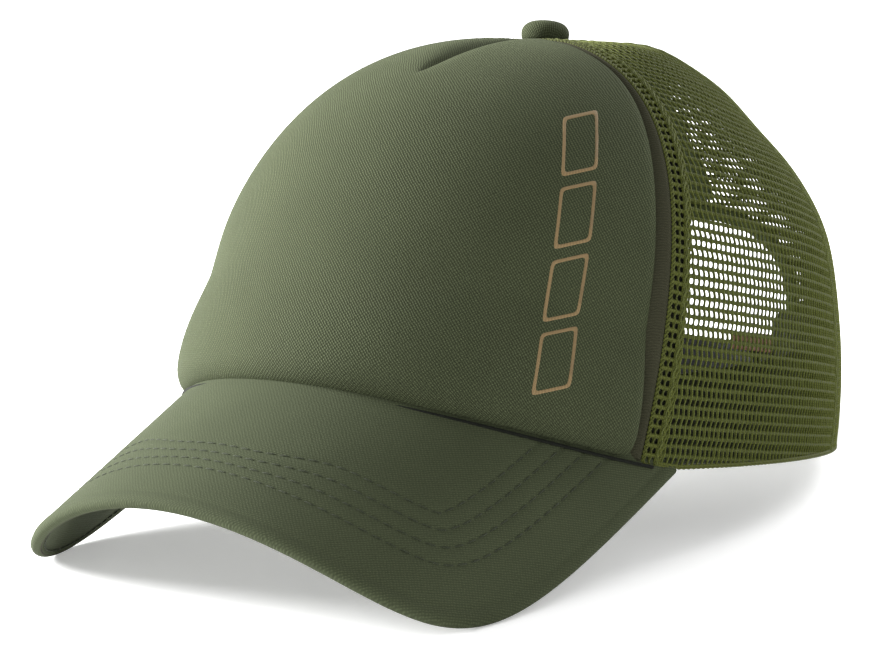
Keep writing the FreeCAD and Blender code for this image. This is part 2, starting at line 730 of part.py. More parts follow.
def build():
    nodes = {
        "front_panel_fabric": front_panel(FABRIC),
        "front_panel_foam": front_panel(FOAM),
        "front_edge_strip_left": seam_ribbon(foam_seam, strip_seam, STRIP),
        "seam_band_left": seam_ribbon(strip_seam, band_seam, BAND),
        "side_mesh_left": side_mesh(),
        "back_mesh_left": back_mesh(),
        "side_seam_tape_left": seam_tape(SIDE_BACK_SEAM, rim_t(SIDE_BACK_SEAM)),
        "front_seam_tape_left": front_seam_tape(),
        "rear_opening_binding": rear_opening_binding(),
        "sweatband": sweatband(),
        "blank_label": blank_label(),
        "visor_top_cover": visor_layer(VISOR_TOP_COVER, VISOR_EDGE + GAP),
        "visor_insert": visor_layer(VISOR_INSERT, VISOR_EDGE + GAP),
        "visor_under_cover": visor_layer(VISOR_UNDER_COVER, VISOR_EDGE + GAP),
        "visor_edge_binding": visor_edge_binding(),
        "hole_strap": hole_strap(),
        "peg_strap": peg_strap(),
        "hole_strap_anchor": strap_anchor(HOLE_STRAP_RADIUS, 1, STRAP_THICKNESS),
        "peg_strap_anchor": strap_anchor(PEG_STRAP_RADIUS, -1, PEG_ANCHOR_THICKNESS),
        "size_tab": size_tab(),
    }
    for name in list(nodes):
        if name.endswith("_left"):
            nodes[name.replace("_left", "_right")] = mirrored(nodes[name])
    back_tape = seam_tape(180.0, t_at_height(180.0, BACK_TAPE_Z))
    nodes["back_seam_tape"] = back_tape.cut(arch_prism(ARCH_HALF_WIDTH + BINDING_WIDTH + GAP))
    nodes["front_print"] = Part.makeCompound([print_bar(i) for i in range(PRINT_BARS)])
    nodes.update(button_parts())
    return nodes


os.makedirs("parts", exist_ok=True)
for name, shape in build().items():
    placed = stand(shape)
    box = placed.BoundBox
    placed.exportStep("parts/%s.step" % name)
    size = "x %.1f..%.1f y %.1f..%.1f z %.2f..%.2f" % (
        box.XMin, box.XMax, box.YMin, box.YMax, box.ZMin, box.ZMax)
    state = "solids %d valid %s volume %9.1f" % (len(placed.Solids), placed.isValid(), placed.Volume)
    print("%-24s %s  %s" % (name, state, size))
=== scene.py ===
# Looks of a trucker mesh cap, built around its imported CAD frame.
# Sizes are millimetres in the cap's own frame: the rim seam lies in z = 0, the visor points along -Y
# and +X is the wearer's left. stand() turns them into metres in the row frame. A place on the crown
# is (theta, t): theta runs from 0 at the visor to 180 at the back, and t from 0 at the rim to 1 at
# the button. Pieces that come in pairs are drawn for the wearer's left and mirrored.
import math

import bpy
import numpy as np
from mathutils import Matrix


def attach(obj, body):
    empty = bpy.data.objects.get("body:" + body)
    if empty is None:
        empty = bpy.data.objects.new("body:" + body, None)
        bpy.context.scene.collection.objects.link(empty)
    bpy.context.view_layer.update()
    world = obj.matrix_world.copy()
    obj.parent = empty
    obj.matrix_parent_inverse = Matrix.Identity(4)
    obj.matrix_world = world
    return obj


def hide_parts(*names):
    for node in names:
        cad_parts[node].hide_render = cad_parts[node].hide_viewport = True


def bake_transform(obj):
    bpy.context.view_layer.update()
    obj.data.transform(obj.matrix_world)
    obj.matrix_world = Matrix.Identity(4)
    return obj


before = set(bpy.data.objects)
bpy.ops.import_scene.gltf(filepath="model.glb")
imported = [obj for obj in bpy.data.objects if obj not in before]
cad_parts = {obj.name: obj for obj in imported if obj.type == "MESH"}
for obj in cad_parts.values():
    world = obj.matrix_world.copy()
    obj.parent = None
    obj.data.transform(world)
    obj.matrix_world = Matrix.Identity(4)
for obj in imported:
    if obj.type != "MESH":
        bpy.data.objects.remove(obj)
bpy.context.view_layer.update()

RANDOM = np.random.default_rng(7)

# ---- the frame's own sizes ----
CROWN_HEIGHT = 106.0
CROWN_SHIFT = 3.5
FRONT_LINE = [(98.7, 0.0), (94.1, 71.7), (57.7, 111.0), (0.0, CROWN_HEIGHT)]
SIDE_LINE = [(81.6, 0.0), (88.1, 71.5), (50.5, 112.9), (0.0, CROWN_HEIGHT)]
REAR_LINE = [(99.5, 0.0), (100.9, 63.9), (60.6, 118.6), (0.0, CROWN_HEIGHT)]
VISOR_RADIUS = 85.2
VISOR_FALL = math.radians(32.3)
VISOR_CREST_Z = 15.1
VISOR_CORNER = 69.3
VISOR_SIDE_ANGLE = math.radians(92.6)
VISOR_SIDE_HANDLE = 91.4
VISOR_FRONT_HANDLE = 89.4
VISOR_LENGTH = 49.0
VISOR_TUCK = 3.8
VISOR_REACH = 0.997  # share of the visor's half width that its covers reach
VISOR_THICKNESS = 3.0
RIM_EASE = 50.0
FOAM_TOP = (0.82, 0.90)  # t where a front seam turns at the corner, and at mid front
STRIP_TOP = (0.845, 0.94)
SIDE_RUN = 0.75  # share of a front seam's run that climbs its side
SIDE_BACK_SEAM = 115.0
ARCH_HALF_WIDTH = 30.0
ARCH_SPRING_Z = 38.0
ARCH_RISE = 22.0
BINDING_WIDTH = 4.5
BINDING_DEPTHS = (-0.5, 1.6)
TAPE_DEPTHS = (1.25, 1.75)
TAPE_SPAN = (-5.5, 5.5)
SWEATBAND_HEIGHT = (23.5, 36.8)  # top edge above the rim seam at the visor's ends and at the back
SWEATBAND_END = 155.5
SWEATBAND_LIFT = 0.25  # its foot above the rim seam
SWEATBAND_THICKNESS = 2.1
SWEATBAND_SEWN = 1.5  # depth of its foot where it is sewn to the mesh's rim
STRAP_CENTRE_Y = 31.9
HOLE_STRAP_RADIUS = 64.4
PEG_STRAP_RADIUS = 62.8
STRAP_THICKNESS = 1.3
STRAP_Z = (5.5, 24.5)
WEB_REACH = (-1.2, 2.4)  # ends of the thin web, measured in x from the hinge line
WEB_HALF_THICKNESS = 0.28
HINGE_X = 28.0  # the straps' hinge lines, to either side
BUTTON_BASE_Z = 107.3
BUTTON_RADIUS = 6.5
BUTTON_HEIGHT = 4.9
PRINT_BARS = 4
PRINT_FOOT = (45.5, 18.0)
PRINT_LEAN = 0.055
PRINT_BAR = (9.5, 15.0)
PRINT_GAP = 2.6
PRINT_LINE = 0.95
PRINT_SLANT = 2.4
REST_PITCH = math.radians(9.84)
REST_LIFT = 15.93
REST_BACK = 19.58

# ---- view: the camera's turn round the cap, measured with the cap pitched by VIEW_PITCH ----
VIEW_PITCH = math.radians(4.83)
VIEW_AZIMUTH = math.radians(38.29)
VIEW_ELEVATION = math.radians(6.67)
VIEW_DISTANCE = 758.45
VIEW_AIM = (-20.70, 28.74)
VIEW_LENS = 114.63

TAB = (8.5, 25.7, 22.5, 27.8)  # x and z limits of the small tab on the peg strap
TAB_CLEARANCE = 0.3
TAB_HALF_THICKNESS = 0.2
LABEL_HALF_ANGLE = math.degrees(20.0 / FRONT_LINE[0][0])
LABEL_Z = (6.0, 16.0)  # its foot above the rim and its height
LABEL_DEPTH = 6.62
LABEL_THICKNESS = 0.35

# ---- cloth sizes ----
# each soft fold of the mesh: its t, its spread in t, how far it stands out, the angle where it starts
MESH_DRAPE = ((0.32, 0.09, 1.2, 72.0), (0.55, 0.09, -1.6, 72.0), (0.80, 0.07, 1.4, 60.0))
LINE_BEND = 70.0  # radius over which bands beside a line on the crown curve down
NET_PITCH = 1.62  # width of one cell of the open mesh
NET_ROW = 2.4  # height of one cell
NET_TILT = (0.065, 0.22)  # fall of the mesh's rows toward the back, at the rim and its growth
NET_HOLE = (0.335, 0.285)  # half width and half height of its opening, in cells
NET_CREST = (0.34, 0.20)  # height of the yarn along the rows and up their sides
BAND_PITCH = 1.65
BAND_HOLE = (0.34, 0.27)
BAND_CREST = (0.50, 0.36)
NET_DEPTH = 0.6  # the mesh's middle below the crown's outer surface
STRIP_DEPTH = (2.1, 1.85)  # the strip's top beside the face, and its climb toward the mesh
STRIP_THICKNESS = 1.6
BAND_WIDTH = 5.9  # doubled mesh along the front seam
# stitches: (length, gap), radius and how far they stand above the cloth
TAPE_STITCH = ((2.0, 0.8), 0.16, 0.08)
BINDING_STITCH = ((2.2, 0.8), 0.2, 0.1)
SWEATBAND_STITCH = ((2.6, 1.0), 0.2, 0.08)
VISOR_STITCH = ((2.8, 0.8), 0.18, 0.08)
UNDER_STITCH = ((1.9, 0.5), 0.22, 0.10)
VISOR_ROWS = 4
VISOR_ROW_INSET = (15.0, 3.15, 1.5)  # outermost row, the step to the next and how much it widens
VISOR_EDGE_RADIUS = 1.65  # outside of the cloth that wraps the board's edge
COVER_THICKNESS = 0.55
EDGE_SEAM = (1.38, 3.05, 0.30)  # inset, depth and radius of the dark seam below the edge
UNDER_COVER_INSET = 2.3
UNDER_COVER_INSIDE = 2.5  # depth of the under cloth's hidden side
UNDER_ROW_INSET = 2.75


def show(name, data):
    """A new object in the scene."""
    made = bpy.data.objects.new(name, data)
    bpy.context.scene.collection.objects.link(made)
    return made


# ---------------------------------------------------------------- camera
def make_camera():
    azimuth, elevation = VIEW_AZIMUTH, VIEW_ELEVATION
    back = np.array([math.sin(azimuth) * math.cos(elevation),
                     -math.cos(azimuth) * math.cos(elevation), math.sin(elevation)])
    right = np.array([math.cos(azimuth), math.sin(azimuth), 0.0])
    up = np.cross(back, right)
    place = VIEW_AIM[0] * right + np.array([0, 0, VIEW_AIM[1]]) + VIEW_DISTANCE * back
    turn = REST_PITCH - VIEW_PITCH
    tip = np.array([[1, 0, 0], [0, math.cos(turn), math.sin(turn)], [0, -math.sin(turn), math.cos(turn)]])
    place = (tip @ place + [0, REST_BACK, REST_LIFT]) / 1000
    axes = [tip @ axis for axis in (right, up, back)]
    camera = show("camera", bpy.data.cameras.new("camera"))
    rows = [[axes[0][i], axes[1][i], axes[2][i], place[i]] for i in range(3)]
    camera.matrix_world = Matrix(rows + [[0, 0, 0, 1]])
    camera.data.lens = VIEW_LENS
    camera.data.clip_start = 0.05
    bpy.context.scene.camera = camera


make_camera()


# ---------------------------------------------------------------- shape of the crown
def bernstein(t):
    s = 1 - t
    return s ** 3, 3 * s * s * t, 3 * s * t * t, t ** 3


def smooth(value, low, high):
    k = np.clip((value - low) / (high - low), 0, 1)
    return k * k * (3 - 2 * k)


def unit(vectors):
    return vectors / np.maximum(np.linalg.norm(vectors, axis=-1, keepdims=True), 1e-9)


def crown_surface(theta, t):
    theta, t = np.broadcast_arrays(np.asarray(theta, float), np.asarray(t, float))
    c = np.cos(np.radians(theta))
    s = np.sin(np.radians(theta))
    b = bernstein(t)
    front = c > 0
    reach = sum(b[i] * np.where(front, FRONT_LINE[i][0], REAR_LINE[i][0]) for i in range(4))
    width = sum(b[i] * SIDE_LINE[i][0] for i in range(4))
    rise = [np.where(front, FRONT_LINE[i][1], REAR_LINE[i][1]) for i in range(4)]
    height = sum(b[i] * (s * s * SIDE_LINE[i][1] + c * c * rise[i]) for i in range(4))
    return np.stack([width * s, CROWN_SHIFT * (b[2] + b[3]) - reach * c, height], -1)


def crown_normal(theta, t):
    across = crown_surface(theta + 0.5, t) - crown_surface(theta - 0.5, t)
    up = crown_surface(theta, t + 0.004) - crown_surface(theta, t - 0.004)
    return unit(np.cross(across, up))


def drape(theta, t):
    """How far the soft mesh stands out from the even dome; below zero it falls in."""
    return sum(rise * np.exp(-((t - place) / spread) ** 2) * smooth(np.abs(theta), start, start + 30.0)
               for place, spread, rise, start in MESH_DRAPE)


def crown_point(theta, t, depth=0.0):
    out = drape(theta, t) - depth
    return crown_surface(theta, t) + crown_normal(theta, t) * np.asarray(out)[..., None]


def t_at_height(theta, z):
    theta, z = np.broadcast_arrays(np.asarray(theta, float), np.asarray(z, float))
    low = np.full(theta.shape, -0.06)
    high = np.full(theta.shape, 0.7)
    for _ in range(26):
        middle = (low + high) / 2
        below = crown_surface(theta, middle)[..., 2] < z
        low = np.where(below, middle, low)
        high = np.where(below, high, middle)
    return (low + high) / 2


def visor_top_z(x, y):
    drop = VISOR_RADIUS - np.sqrt(np.maximum(VISOR_RADIUS ** 2 - x * x, 0))
    return VISOR_CREST_Z + (y + FRONT_LINE[0][0]) * math.tan(VISOR_FALL) - drop / math.cos(VISOR_FALL)


def rim_height(theta):
    inside = np.clip(np.abs(theta), 0, VISOR_CORNER)
    base = crown_surface(inside, 0.0)
    share = np.clip(1 - (np.abs(theta) - VISOR_CORNER) / RIM_EASE, 0, 1)
    return visor_top_z(base[..., 0], base[..., 1]) * share ** 2


def rim_t(theta):
    return t_at_height(theta, rim_height(theta))


def arc_degrees(theta, t, millimetres):
    step = crown_surface(theta + 0.5, t) - crown_surface(theta - 0.5, t)
    return millimetres / np.linalg.norm(step, axis=-1)


def foam_edge_angle(t):
    return 59.0 + 11.0 * t - 93.0 * t ** 7.7


def strip_edge_angle(t):
    return 62.0 + 14.0 * t - 47.4 * t ** 5.06


def front_seam(run, angle_of_t, top):
    """(theta, t) on a front seam: run 0 at the rim, SIDE_RUN at the top corner, 1 at mid front."""
    turn_t, middle_t = top
    start = rim_t(angle_of_t(0.0))
    t = start + (turn_t - start) * np.minimum(run / SIDE_RUN, 1)
    share = np.clip((run - SIDE_RUN) / (1 - SIDE_RUN), 0, 1)
    theta = np.where(run <= SIDE_RUN, angle_of_t(t), angle_of_t(turn_t) * (1 - share))
    return theta, np.where(run <= SIDE_RUN, t, turn_t + (middle_t - turn_t) * (1 - (1 - share) ** 2))


def foam_seam(run):
    return front_seam(run, foam_edge_angle, FOAM_TOP)


def strip_seam(run):
    return front_seam(run, strip_edge_angle, STRIP_TOP)


# ---------------------------------------------------------------- mesh building
def stand(points):
    """Millimetres in the cap's frame to metres in the row frame."""
    c, s = math.cos(REST_PITCH), math.sin(REST_PITCH)
    x, y, z = points[..., 0], points[..., 1], points[..., 2]
    return np.stack([x, y * c + z * s + REST_BACK, z * c - y * s + REST_LIFT], -1) / 1000


def ease_ends(count, edge, extra=6):
    """0 to 1 in even steps, with extra steps within edge of both ends."""
    fine = edge * (1 - np.cos(np.linspace(0, math.pi / 2, extra + 2)[1:-1]))
    return np.unique(np.concatenate([np.linspace(0, 1, count), fine, 1 - fine]))


def running_length(points, axis):
    """Distance along a grid's rows or columns, from its first point."""
    steps = np.linalg.norm(np.diff(points, axis=axis), axis=-1)
    return np.concatenate([np.zeros_like(np.take(steps, [0], axis)), np.cumsum(steps, axis)], axis)


def superellipse(count, half_width, half_height, power=0.6):
    """Closed outline with rounded corners; a smaller power is squarer."""
    angle = np.linspace(0, 2 * math.pi, count, endpoint=False)
    c, s = np.cos(angle), np.sin(angle)
    return half_width * np.sign(c) * np.abs(c) ** power, half_height * np.sign(s) * np.abs(s) ** power


class Piece:
    """Collects points and faces in millimetres and turns them into one mesh object."""

    def __init__(self):
        self.points = []
        self.faces = []
        self.uvs = []
        self.count = 0

    def add(self, points, faces, uv):
        self.points.append(points.reshape(-1, 3))
        self.uvs.append(uv.reshape(-1, 2))
        self.faces += [[i + self.count for i in face] for face in faces]
        self.count += points.size // 3

    def shell(self, outer, inner, uv=None):
        """Closed shell between two matching grids; axis 0 times axis 1 points outward."""
        n, m = outer.shape[:2]
        if uv is None:
            uv = cloth_uv(outer)
        index = np.arange(n * m).reshape(n, m)
        a, b, c, d = index[:-1, :-1], index[1:, :-1], index[1:, 1:], index[:-1, 1:]
        top = np.stack([a, b, c, d], -1).reshape(-1, 4)
        low = np.stack([d, c, b, a], -1).reshape(-1, 4) + n * m
        rim = np.concatenate([index[:, 0], index[-1, 1:], index[-2::-1, -1], index[0, -2:0:-1]])
        after = np.roll(rim, -1)
        wall = np.stack([after, rim, rim + n * m, after + n * m], -1)
        self.add(np.concatenate([outer.reshape(-1, 3), inner.reshape(-1, 3)]),
                 np.concatenate([top, low, wall]).tolist(), np.concatenate([uv, uv]))

    def loft(self, rings, closed=False):
        """Closed body through a row of rings."""
        n, k = rings.shape[:2]
        along = running_length(rings, 0)
        around = running_length(rings, 1)
        index = np.arange(n * k).reshape(n, k)
        following = np.roll(index, -1, 0) if closed else index[1:]
        here = index if closed else index[:-1]
        faces = np.stack([here, following, np.roll(following, -1, 1), np.roll(here, -1, 1)], -1)
        faces = faces.reshape(-1, 4).tolist()
        if not closed:
            faces += [index[0].tolist(), index[-1, ::-1].tolist()]
        self.add(rings, faces, np.stack([along, around], -1))

    def tubes(self, points, normals, radius, sides=8):
        """Many yarns at once: points[yarn, step] with a normal each and a radius for every step."""
        count, length = points.shape[:2]
        step = unit(np.gradient(points, axis=1))
        side = unit(np.cross(step, normals))
        lift = unit(np.cross(side, step))
        angle = np.linspace(0, 2 * math.pi, sides, endpoint=False)[:, None]
        around = np.cos(angle) * lift[:, :, None] + np.sin(angle) * side[:, :, None]
        rings = points[:, :, None] + around * np.broadcast_to(radius, (count, length))[..., None, None]
        index = np.arange(count * length * sides).reshape(count, length, sides)
        here, following = index[:, :-1], index[:, 1:]
        faces = np.stack([here, following, np.roll(following, -1, 2), np.roll(here, -1, 2)], -1)
        ends = np.concatenate([index[:, 0], index[:, -1, ::-1]])
        uv = np.stack([running_length(rings, 1), running_length(rings, 2)], -1)
        self.add(rings, faces.reshape(-1, 4).tolist() + ends.tolist(), uv)

    def tube(self, points, normals, radius, sides=8):
        self.tubes(points[None], normals[None], radius, sides)

    def mirror(self):
        """A copy on the wearer's right."""
        other = Piece()
        other.points = [p * [-1, 1, 1] for p in self.points]
        other.uvs = [uv * [-1, 1] for uv in self.uvs]
        other.faces = [face[::-1] for face in self.faces]
        other.count = self.count
        return other

    def make(self, name, material, nodes=(), slot=None, body="cap"):
        mesh = bpy.data.meshes.new(name)
        points = stand(np.concatenate(self.points))
        mesh.from_pydata(points.tolist(), [], self.faces)
        layer = mesh.uv_layers.new(name="cloth")
        corners = np.empty(len(mesh.loops), np.int32)
        mesh.loops.foreach_get("vertex_index", corners)
        layer.data.foreach_set("uv", np.concatenate(self.uvs)[corners].ravel())
        mesh.polygons.foreach_set("use_smooth", np.ones(len(mesh.polygons), bool))
        mesh.materials.append(material)
        mesh.validate()
        piece = show(name, mesh)
        if body:
            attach(piece, body)
        if nodes:
            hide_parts(*nodes)
        return piece


def cloth_uv(grid):
    """Flat coordinates in millimetres over a grid, measured from its middle column."""
    across = running_length(grid, 0)
    across = across - across[len(grid) // 2]
    return np.stack([across, running_length(grid, 1)], -1)


def make_pair(piece, name, material, nodes=(), slot=None):
    """The piece on the wearer's left and its mirror image on the right."""
    made = []
    for side, half in (("left", piece), ("right", piece.mirror())):
        made.append(half.make(f"{name}_{side}", material, [f"{node}_{side}" for node in nodes], slot))
    return made


def declare_sheet(grid):
    """Width and length in metres of the piece's outer grid, as cut flat; nothing uses them."""
    wide = float(running_length(grid, 0)[-1].max()) / 1000
    long = float(running_length(grid, 1)[:, -1].max()) / 1000


def pick_along(along, lengths, rows):
    """Rows of three numbers between the known ones, at the given distances."""
    return np.stack([np.interp(along, lengths, rows[:, i]) for i in range(3)], -1)


class Line:
    """A line on the crown that can be asked for points along it, beside it and below it."""

    def __init__(self, theta, t):
        self.points = crown_point(theta, t)
        self.normals = crown_normal(theta, t)
        self.sides = unit(np.cross(np.gradient(self.points, axis=0), self.normals))
        self.lengths = running_length(self.points, 0)
        self.total = float(self.lengths[-1])

    def pick(self, rows, along):
        return pick_along(along, self.lengths, rows)

    def normal(self, along):
        return unit(self.pick(self.normals, along))

    def at(self, along, across=0.0, depth=0.0):
        along, across, depth = np.broadcast_arrays(along, across, depth)
        drop = (depth + across ** 2 / (2 * LINE_BEND))[..., None]
        return self.pick(self.points, along) + self.pick(self.sides, along) * across[..., None] \
            - self.normal(along) * drop

    def ribbon(self, piece, across, depth, span=None, power=0.5, count=20, step=1.2):
        """Flat band between two distances beside the line."""
        first, last = span or (0.0, self.total)
        along = np.linspace(first, last, max(int((last - first) / step), 2))[:, None]
        w, d = superellipse(count, (across[1] - across[0]) / 2, (depth[1] - depth[0]) / 2, power)
        w, d = w + (across[0] + across[1]) / 2, (depth[0] + depth[1]) / 2 - d
        piece.loft(self.at(along, w[None], d[None]))

    def cord(self, piece, across, depth, radius, wave=(0.0, 1.0, 0.0), rise=0.0, span=None, step=0.45):
        """Yarn beside the line; wave is (amplitude, period, phase in turns)."""
        first, last = span or (0.0, self.total)
        along = np.linspace(first, last, int((last - first) / step) + 2)
        turn = 2 * math.pi * (along / wave[1] + wave[2])
        beside = across + wave[0] * np.sin(turn)
        piece.tube(self.at(along, beside, depth - rise * np.cos(turn)), self.normal(along), radius, 6)


def sew(piece, points, normals, size, radius, lift):
    """Separate stitches along a dense row of points."""
    lengths = running_length(points, 0)
    count = int(lengths[-1] / (size[0] + size[1]))
    if count < 1:
        return
    starts = (lengths[-1] - count * sum(size)) / 2 + np.arange(count) * sum(size)
    shares = np.array([0, 0.12, 0.35, 0.65, 0.88, 1.0])
    swell = np.array([0.3, 0.8, 1.0, 1.0, 0.8, 0.3]) * radius
    arch = np.array([-1.4, 0.2, 1.0, 1.0, 0.2, -1.4])[:, None] * lift
    along = starts[:, None] + shares * size[0]
    place = pick_along(along, lengths, points)
    normal = unit(pick_along(along, lengths, normals))
    piece.tubes(place + normal * arch, normal, swell, 6)


# ---------------------------------------------------------------- materials
def srgb(red, green, blue):
    """Linear colour of an sRGB one given in 0..255."""
    def linear(value):
        return value / 12.92 if value < 0.04045 else ((value + 0.055) / 1.055) ** 2.4
    return tuple(linear(value / 255) for value in (red, green, blue))


class Shader:
    """A Principled material with short calls for its nodes."""

    def __init__(self, name, roughness, sheen=0.0, specular=0.3, metallic=0.0):
        self.material = bpy.data.materials.new(name)
        self.material.use_nodes = True
        self.tree = self.material.node_tree
        self.surface = self.tree.nodes["Principled BSDF"]
        self.surface.inputs["Roughness"].default_value = roughness
        self.surface.inputs["Specular IOR Level"].default_value = specular
        self.surface.inputs["Metallic"].default_value = metallic
        self.surface.inputs["Sheen Weight"].default_value = sheen
        self.surface.inputs["Sheen Roughness"].default_value = 0.45

    def node(self, kind, **inputs):
        made = self.tree.nodes.new(kind)
        for name, value in inputs.items():
            self.plug(made.inputs[name.replace("_", " ")], value)
        return made

    def plug(self, socket, value):
        if isinstance(value, bpy.types.NodeSocket):
            self.tree.links.new(value, socket)
        elif hasattr(socket.default_value, "__len__") and len(socket.default_value) == 4:
            socket.default_value = (*value[:3], 1.0)
        else:
            socket.default_value = value

    def math(self, operation, first, second=0.0, third=0.0):
        made = self.tree.nodes.new("ShaderNodeMath")
        made.operation = operation
        for socket, value in zip(made.inputs, (first, second, third)):
            self.plug(socket, value)
        return made.outputs[0]

    def wave(self, value, period, phase=0.0):
        """0 to 1 and back once every period."""
        turn = self.math("MULTIPLY_ADD", value, 2 * math.pi / period, phase)
        return self.math("MULTIPLY_ADD", self.math("SINE", turn), 0.5, 0.5)

    def cloth(self):
        """Flat coordinates in millimetres: the vector, and its two parts."""
        uv = self.tree.nodes.new("ShaderNodeUVMap")
        uv.uv_map = "cloth"
        parts = self.node("ShaderNodeSeparateXYZ", Vector=uv.outputs[0])
        return uv.outputs[0], parts.outputs[0], parts.outputs[1]

    def place(self):
        """Position in millimetres, for patterns that need no cut cloth."""
        return self.scale(self.tree.nodes.new("ShaderNodeTexCoord").outputs["Object"], 1000.0)

    def scale(self, vector, factor):
        made = self.tree.nodes.new("ShaderNodeVectorMath")
        made.operation = "SCALE"
        self.plug(made.inputs[0], vector)
        self.plug(made.inputs["Scale"], factor)
        return made.outputs[0]

    def noise(self, vector, size, detail=2.0):
        made = self.node("ShaderNodeTexNoise", Vector=vector, Scale=1 / size, Detail=detail)
        return made.outputs["Fac"]

    def blend(self, share, first, second):
        made = self.tree.nodes.new("ShaderNodeMix")
        made.data_type = "RGBA"
        for socket, value in zip((made.inputs[0], made.inputs[6], made.inputs[7]), (share, first, second)):
            self.plug(socket, value)
        return made.outputs[2]

    def bump(self, height, depth):
        """Height 0..1 over a relief of the given depth in millimetres."""
        made = self.node("ShaderNodeBump", Strength=1.0, Distance=depth / 1000, Height=height)
        self.tree.links.new(made.outputs[0], self.surface.inputs["Normal"])

    def colour(self, value):
        self.plug(self.surface.inputs["Base Color"], value)

    def rough(self, value):
        self.plug(self.surface.inputs["Roughness"], value)

    def finish(self, colour, low, high, share, height, relief):
        """Colour from low to high times the given one, by share, over a relief in millimetres."""
        self.colour(self.blend(share, scaled(colour, low), scaled(colour, high)))
        self.bump(height, relief)
        return self.material


def scaled(colour, factor):
    return tuple(min(c * factor, 1.0) for c in colour)


def twill(name, colour, pitch=0.62, relief=0.22, contrast=0.75, fuzz=0.3, sheen=0.12):
    """Woven cloth: fine diagonal ribs broken into yarns, with a little fuzz over them."""
    shader = Shader(name, 0.9, sheen, 0.12)
    shader.surface.inputs["Sheen Tint"].default_value = (*scaled(colour, 5.0), 1.0)
    vector, u, v = shader.cloth()
    stray = shader.noise(vector, 1.6, 3.0)
    along = shader.math("MULTIPLY_ADD", stray, 0.9, shader.math("ADD", u, v))
    across = shader.math("MULTIPLY_ADD", stray, 1.1, shader.math("SUBTRACT", u, v))
    rib = shader.wave(along, pitch * math.sqrt(2))
    yarn = shader.wave(across, pitch * 1.7)
    weave = shader.math("MULTIPLY", rib, shader.math("MULTIPLY_ADD", yarn, 0.7, 0.3))
    hair = shader.noise(vector, 0.45, 3.0)
    woven = shader.math("MULTIPLY", weave, 1 - fuzz)
    height = shader.math("ADD", woven, shader.math("MULTIPLY", hair, fuzz))
    cloud = shader.noise(vector, 22.0, 3.0)
    near = shader.blend(height, scaled(colour, 1 - contrast), scaled(colour, 1 + contrast))
    tone = shader.math("MULTIPLY_ADD", cloud, 0.24, 0.88)
    shader.colour(shader.scale(near, tone))
    shader.bump(height, relief)
    return shader.material


def knit(name, colour, rib=0.6, contrast=0.45):
    """Mesh yarn: small ribs across the cords and filaments along them."""
    shader = Shader(name, 0.7, 0.04, 0.2)
    vector, u, v = shader.cloth()
    ribs = shader.wave(u, rib)
    rows = shader.wave(v, NET_ROW / 4)
    hair = shader.noise(vector, 0.35, 3.0)
    woven = shader.math("MULTIPLY_ADD", ribs, 0.55, shader.math("MULTIPLY", rows, 0.2))
    height = shader.math("MULTIPLY_ADD", hair, 0.25, woven)
    return shader.finish(colour, 1 - contrast, 1 + contrast, height, height, 0.16)


def plain_weave(name, colour, yarn=0.5, sheen=0.2):
    """Tape, label and sweatband cloth: yarns crossing square."""
    shader = Shader(name, 0.85, sheen, 0.25)
    vector, u, v = shader.cloth()
    warp = shader.wave(u, yarn)
    weft = shader.wave(v, yarn)
    height = shader.math("MULTIPLY_ADD", warp, 0.5, shader.math("MULTIPLY", weft, 0.5))
    mottle = shader.noise(vector, 6.0, 4.0)
    share = shader.math("MULTIPLY_ADD", mottle, 0.5, shader.math("MULTIPLY", height, 0.5))
    return shader.finish(colour, 0.75, 1.25, share, height, 0.08)


def foam(name, colour):
    """Cut foam faced with thin jersey: fine open cells."""
    shader = Shader(name, 0.95, 0.2, 0.15)
    cells = shader.node("ShaderNodeTexVoronoi", Vector=shader.place(), Scale=1.6).outputs["Distance"]
    return shader.finish(colour, 0.7, 1.15, cells, cells, 0.15)


def plastic(name, colour, roughness=0.42):
    """Moulded plastic with a fine matt grain and faint flow marks."""
    shader = Shader(name, roughness, 0.0, 0.5)
    vector = shader.place()
    fine = shader.noise(vector, 0.35, 4.0)
    flow = shader.noise(vector, 9.0, 2.0)
    shader.rough(shader.math("MULTIPLY_ADD", fine, 0.25, roughness - 0.1))
    return shader.finish(colour, 0.82, 1.2, flow, fine, 0.05)


def metal(name, colour):
    """Pressed metal with drawing marks."""
    shader = Shader(name, 0.35, 0.0, 0.5, 1.0)
    marks = shader.noise(shader.place(), 0.8, 5.0)
    shader.rough(shader.math("MULTIPLY_ADD", marks, 0.35, 0.2))
    return shader.finish(colour, 0.75, 1.1, marks, marks, 0.02)


def thread(name, colour):
    """Sewing thread: plies that wind round it."""
    shader = Shader(name, 0.8, 0.1, 0.2)
    _, u, v = shader.cloth()
    ply = shader.wave(shader.math("ADD", u, v), 0.5)
    return shader.finish(colour, 0.7, 1.2, ply, ply, 0.06)


def ink(name, colour):
    """Raised print that lets the weave below it show."""
    shader = Shader(name, 0.6, 0.05, 0.35)
    vector, u, v = shader.cloth()
    weave = shader.wave(shader.math("ADD", u, v), 0.85)
    grain = shader.noise(vector, 0.4, 3.0)
    height = shader.math("MULTIPLY_ADD", weave, 0.5, shader.math("MULTIPLY", grain, 0.5))
    return shader.finish(colour, 0.72, 1.18, height, height, 0.08)


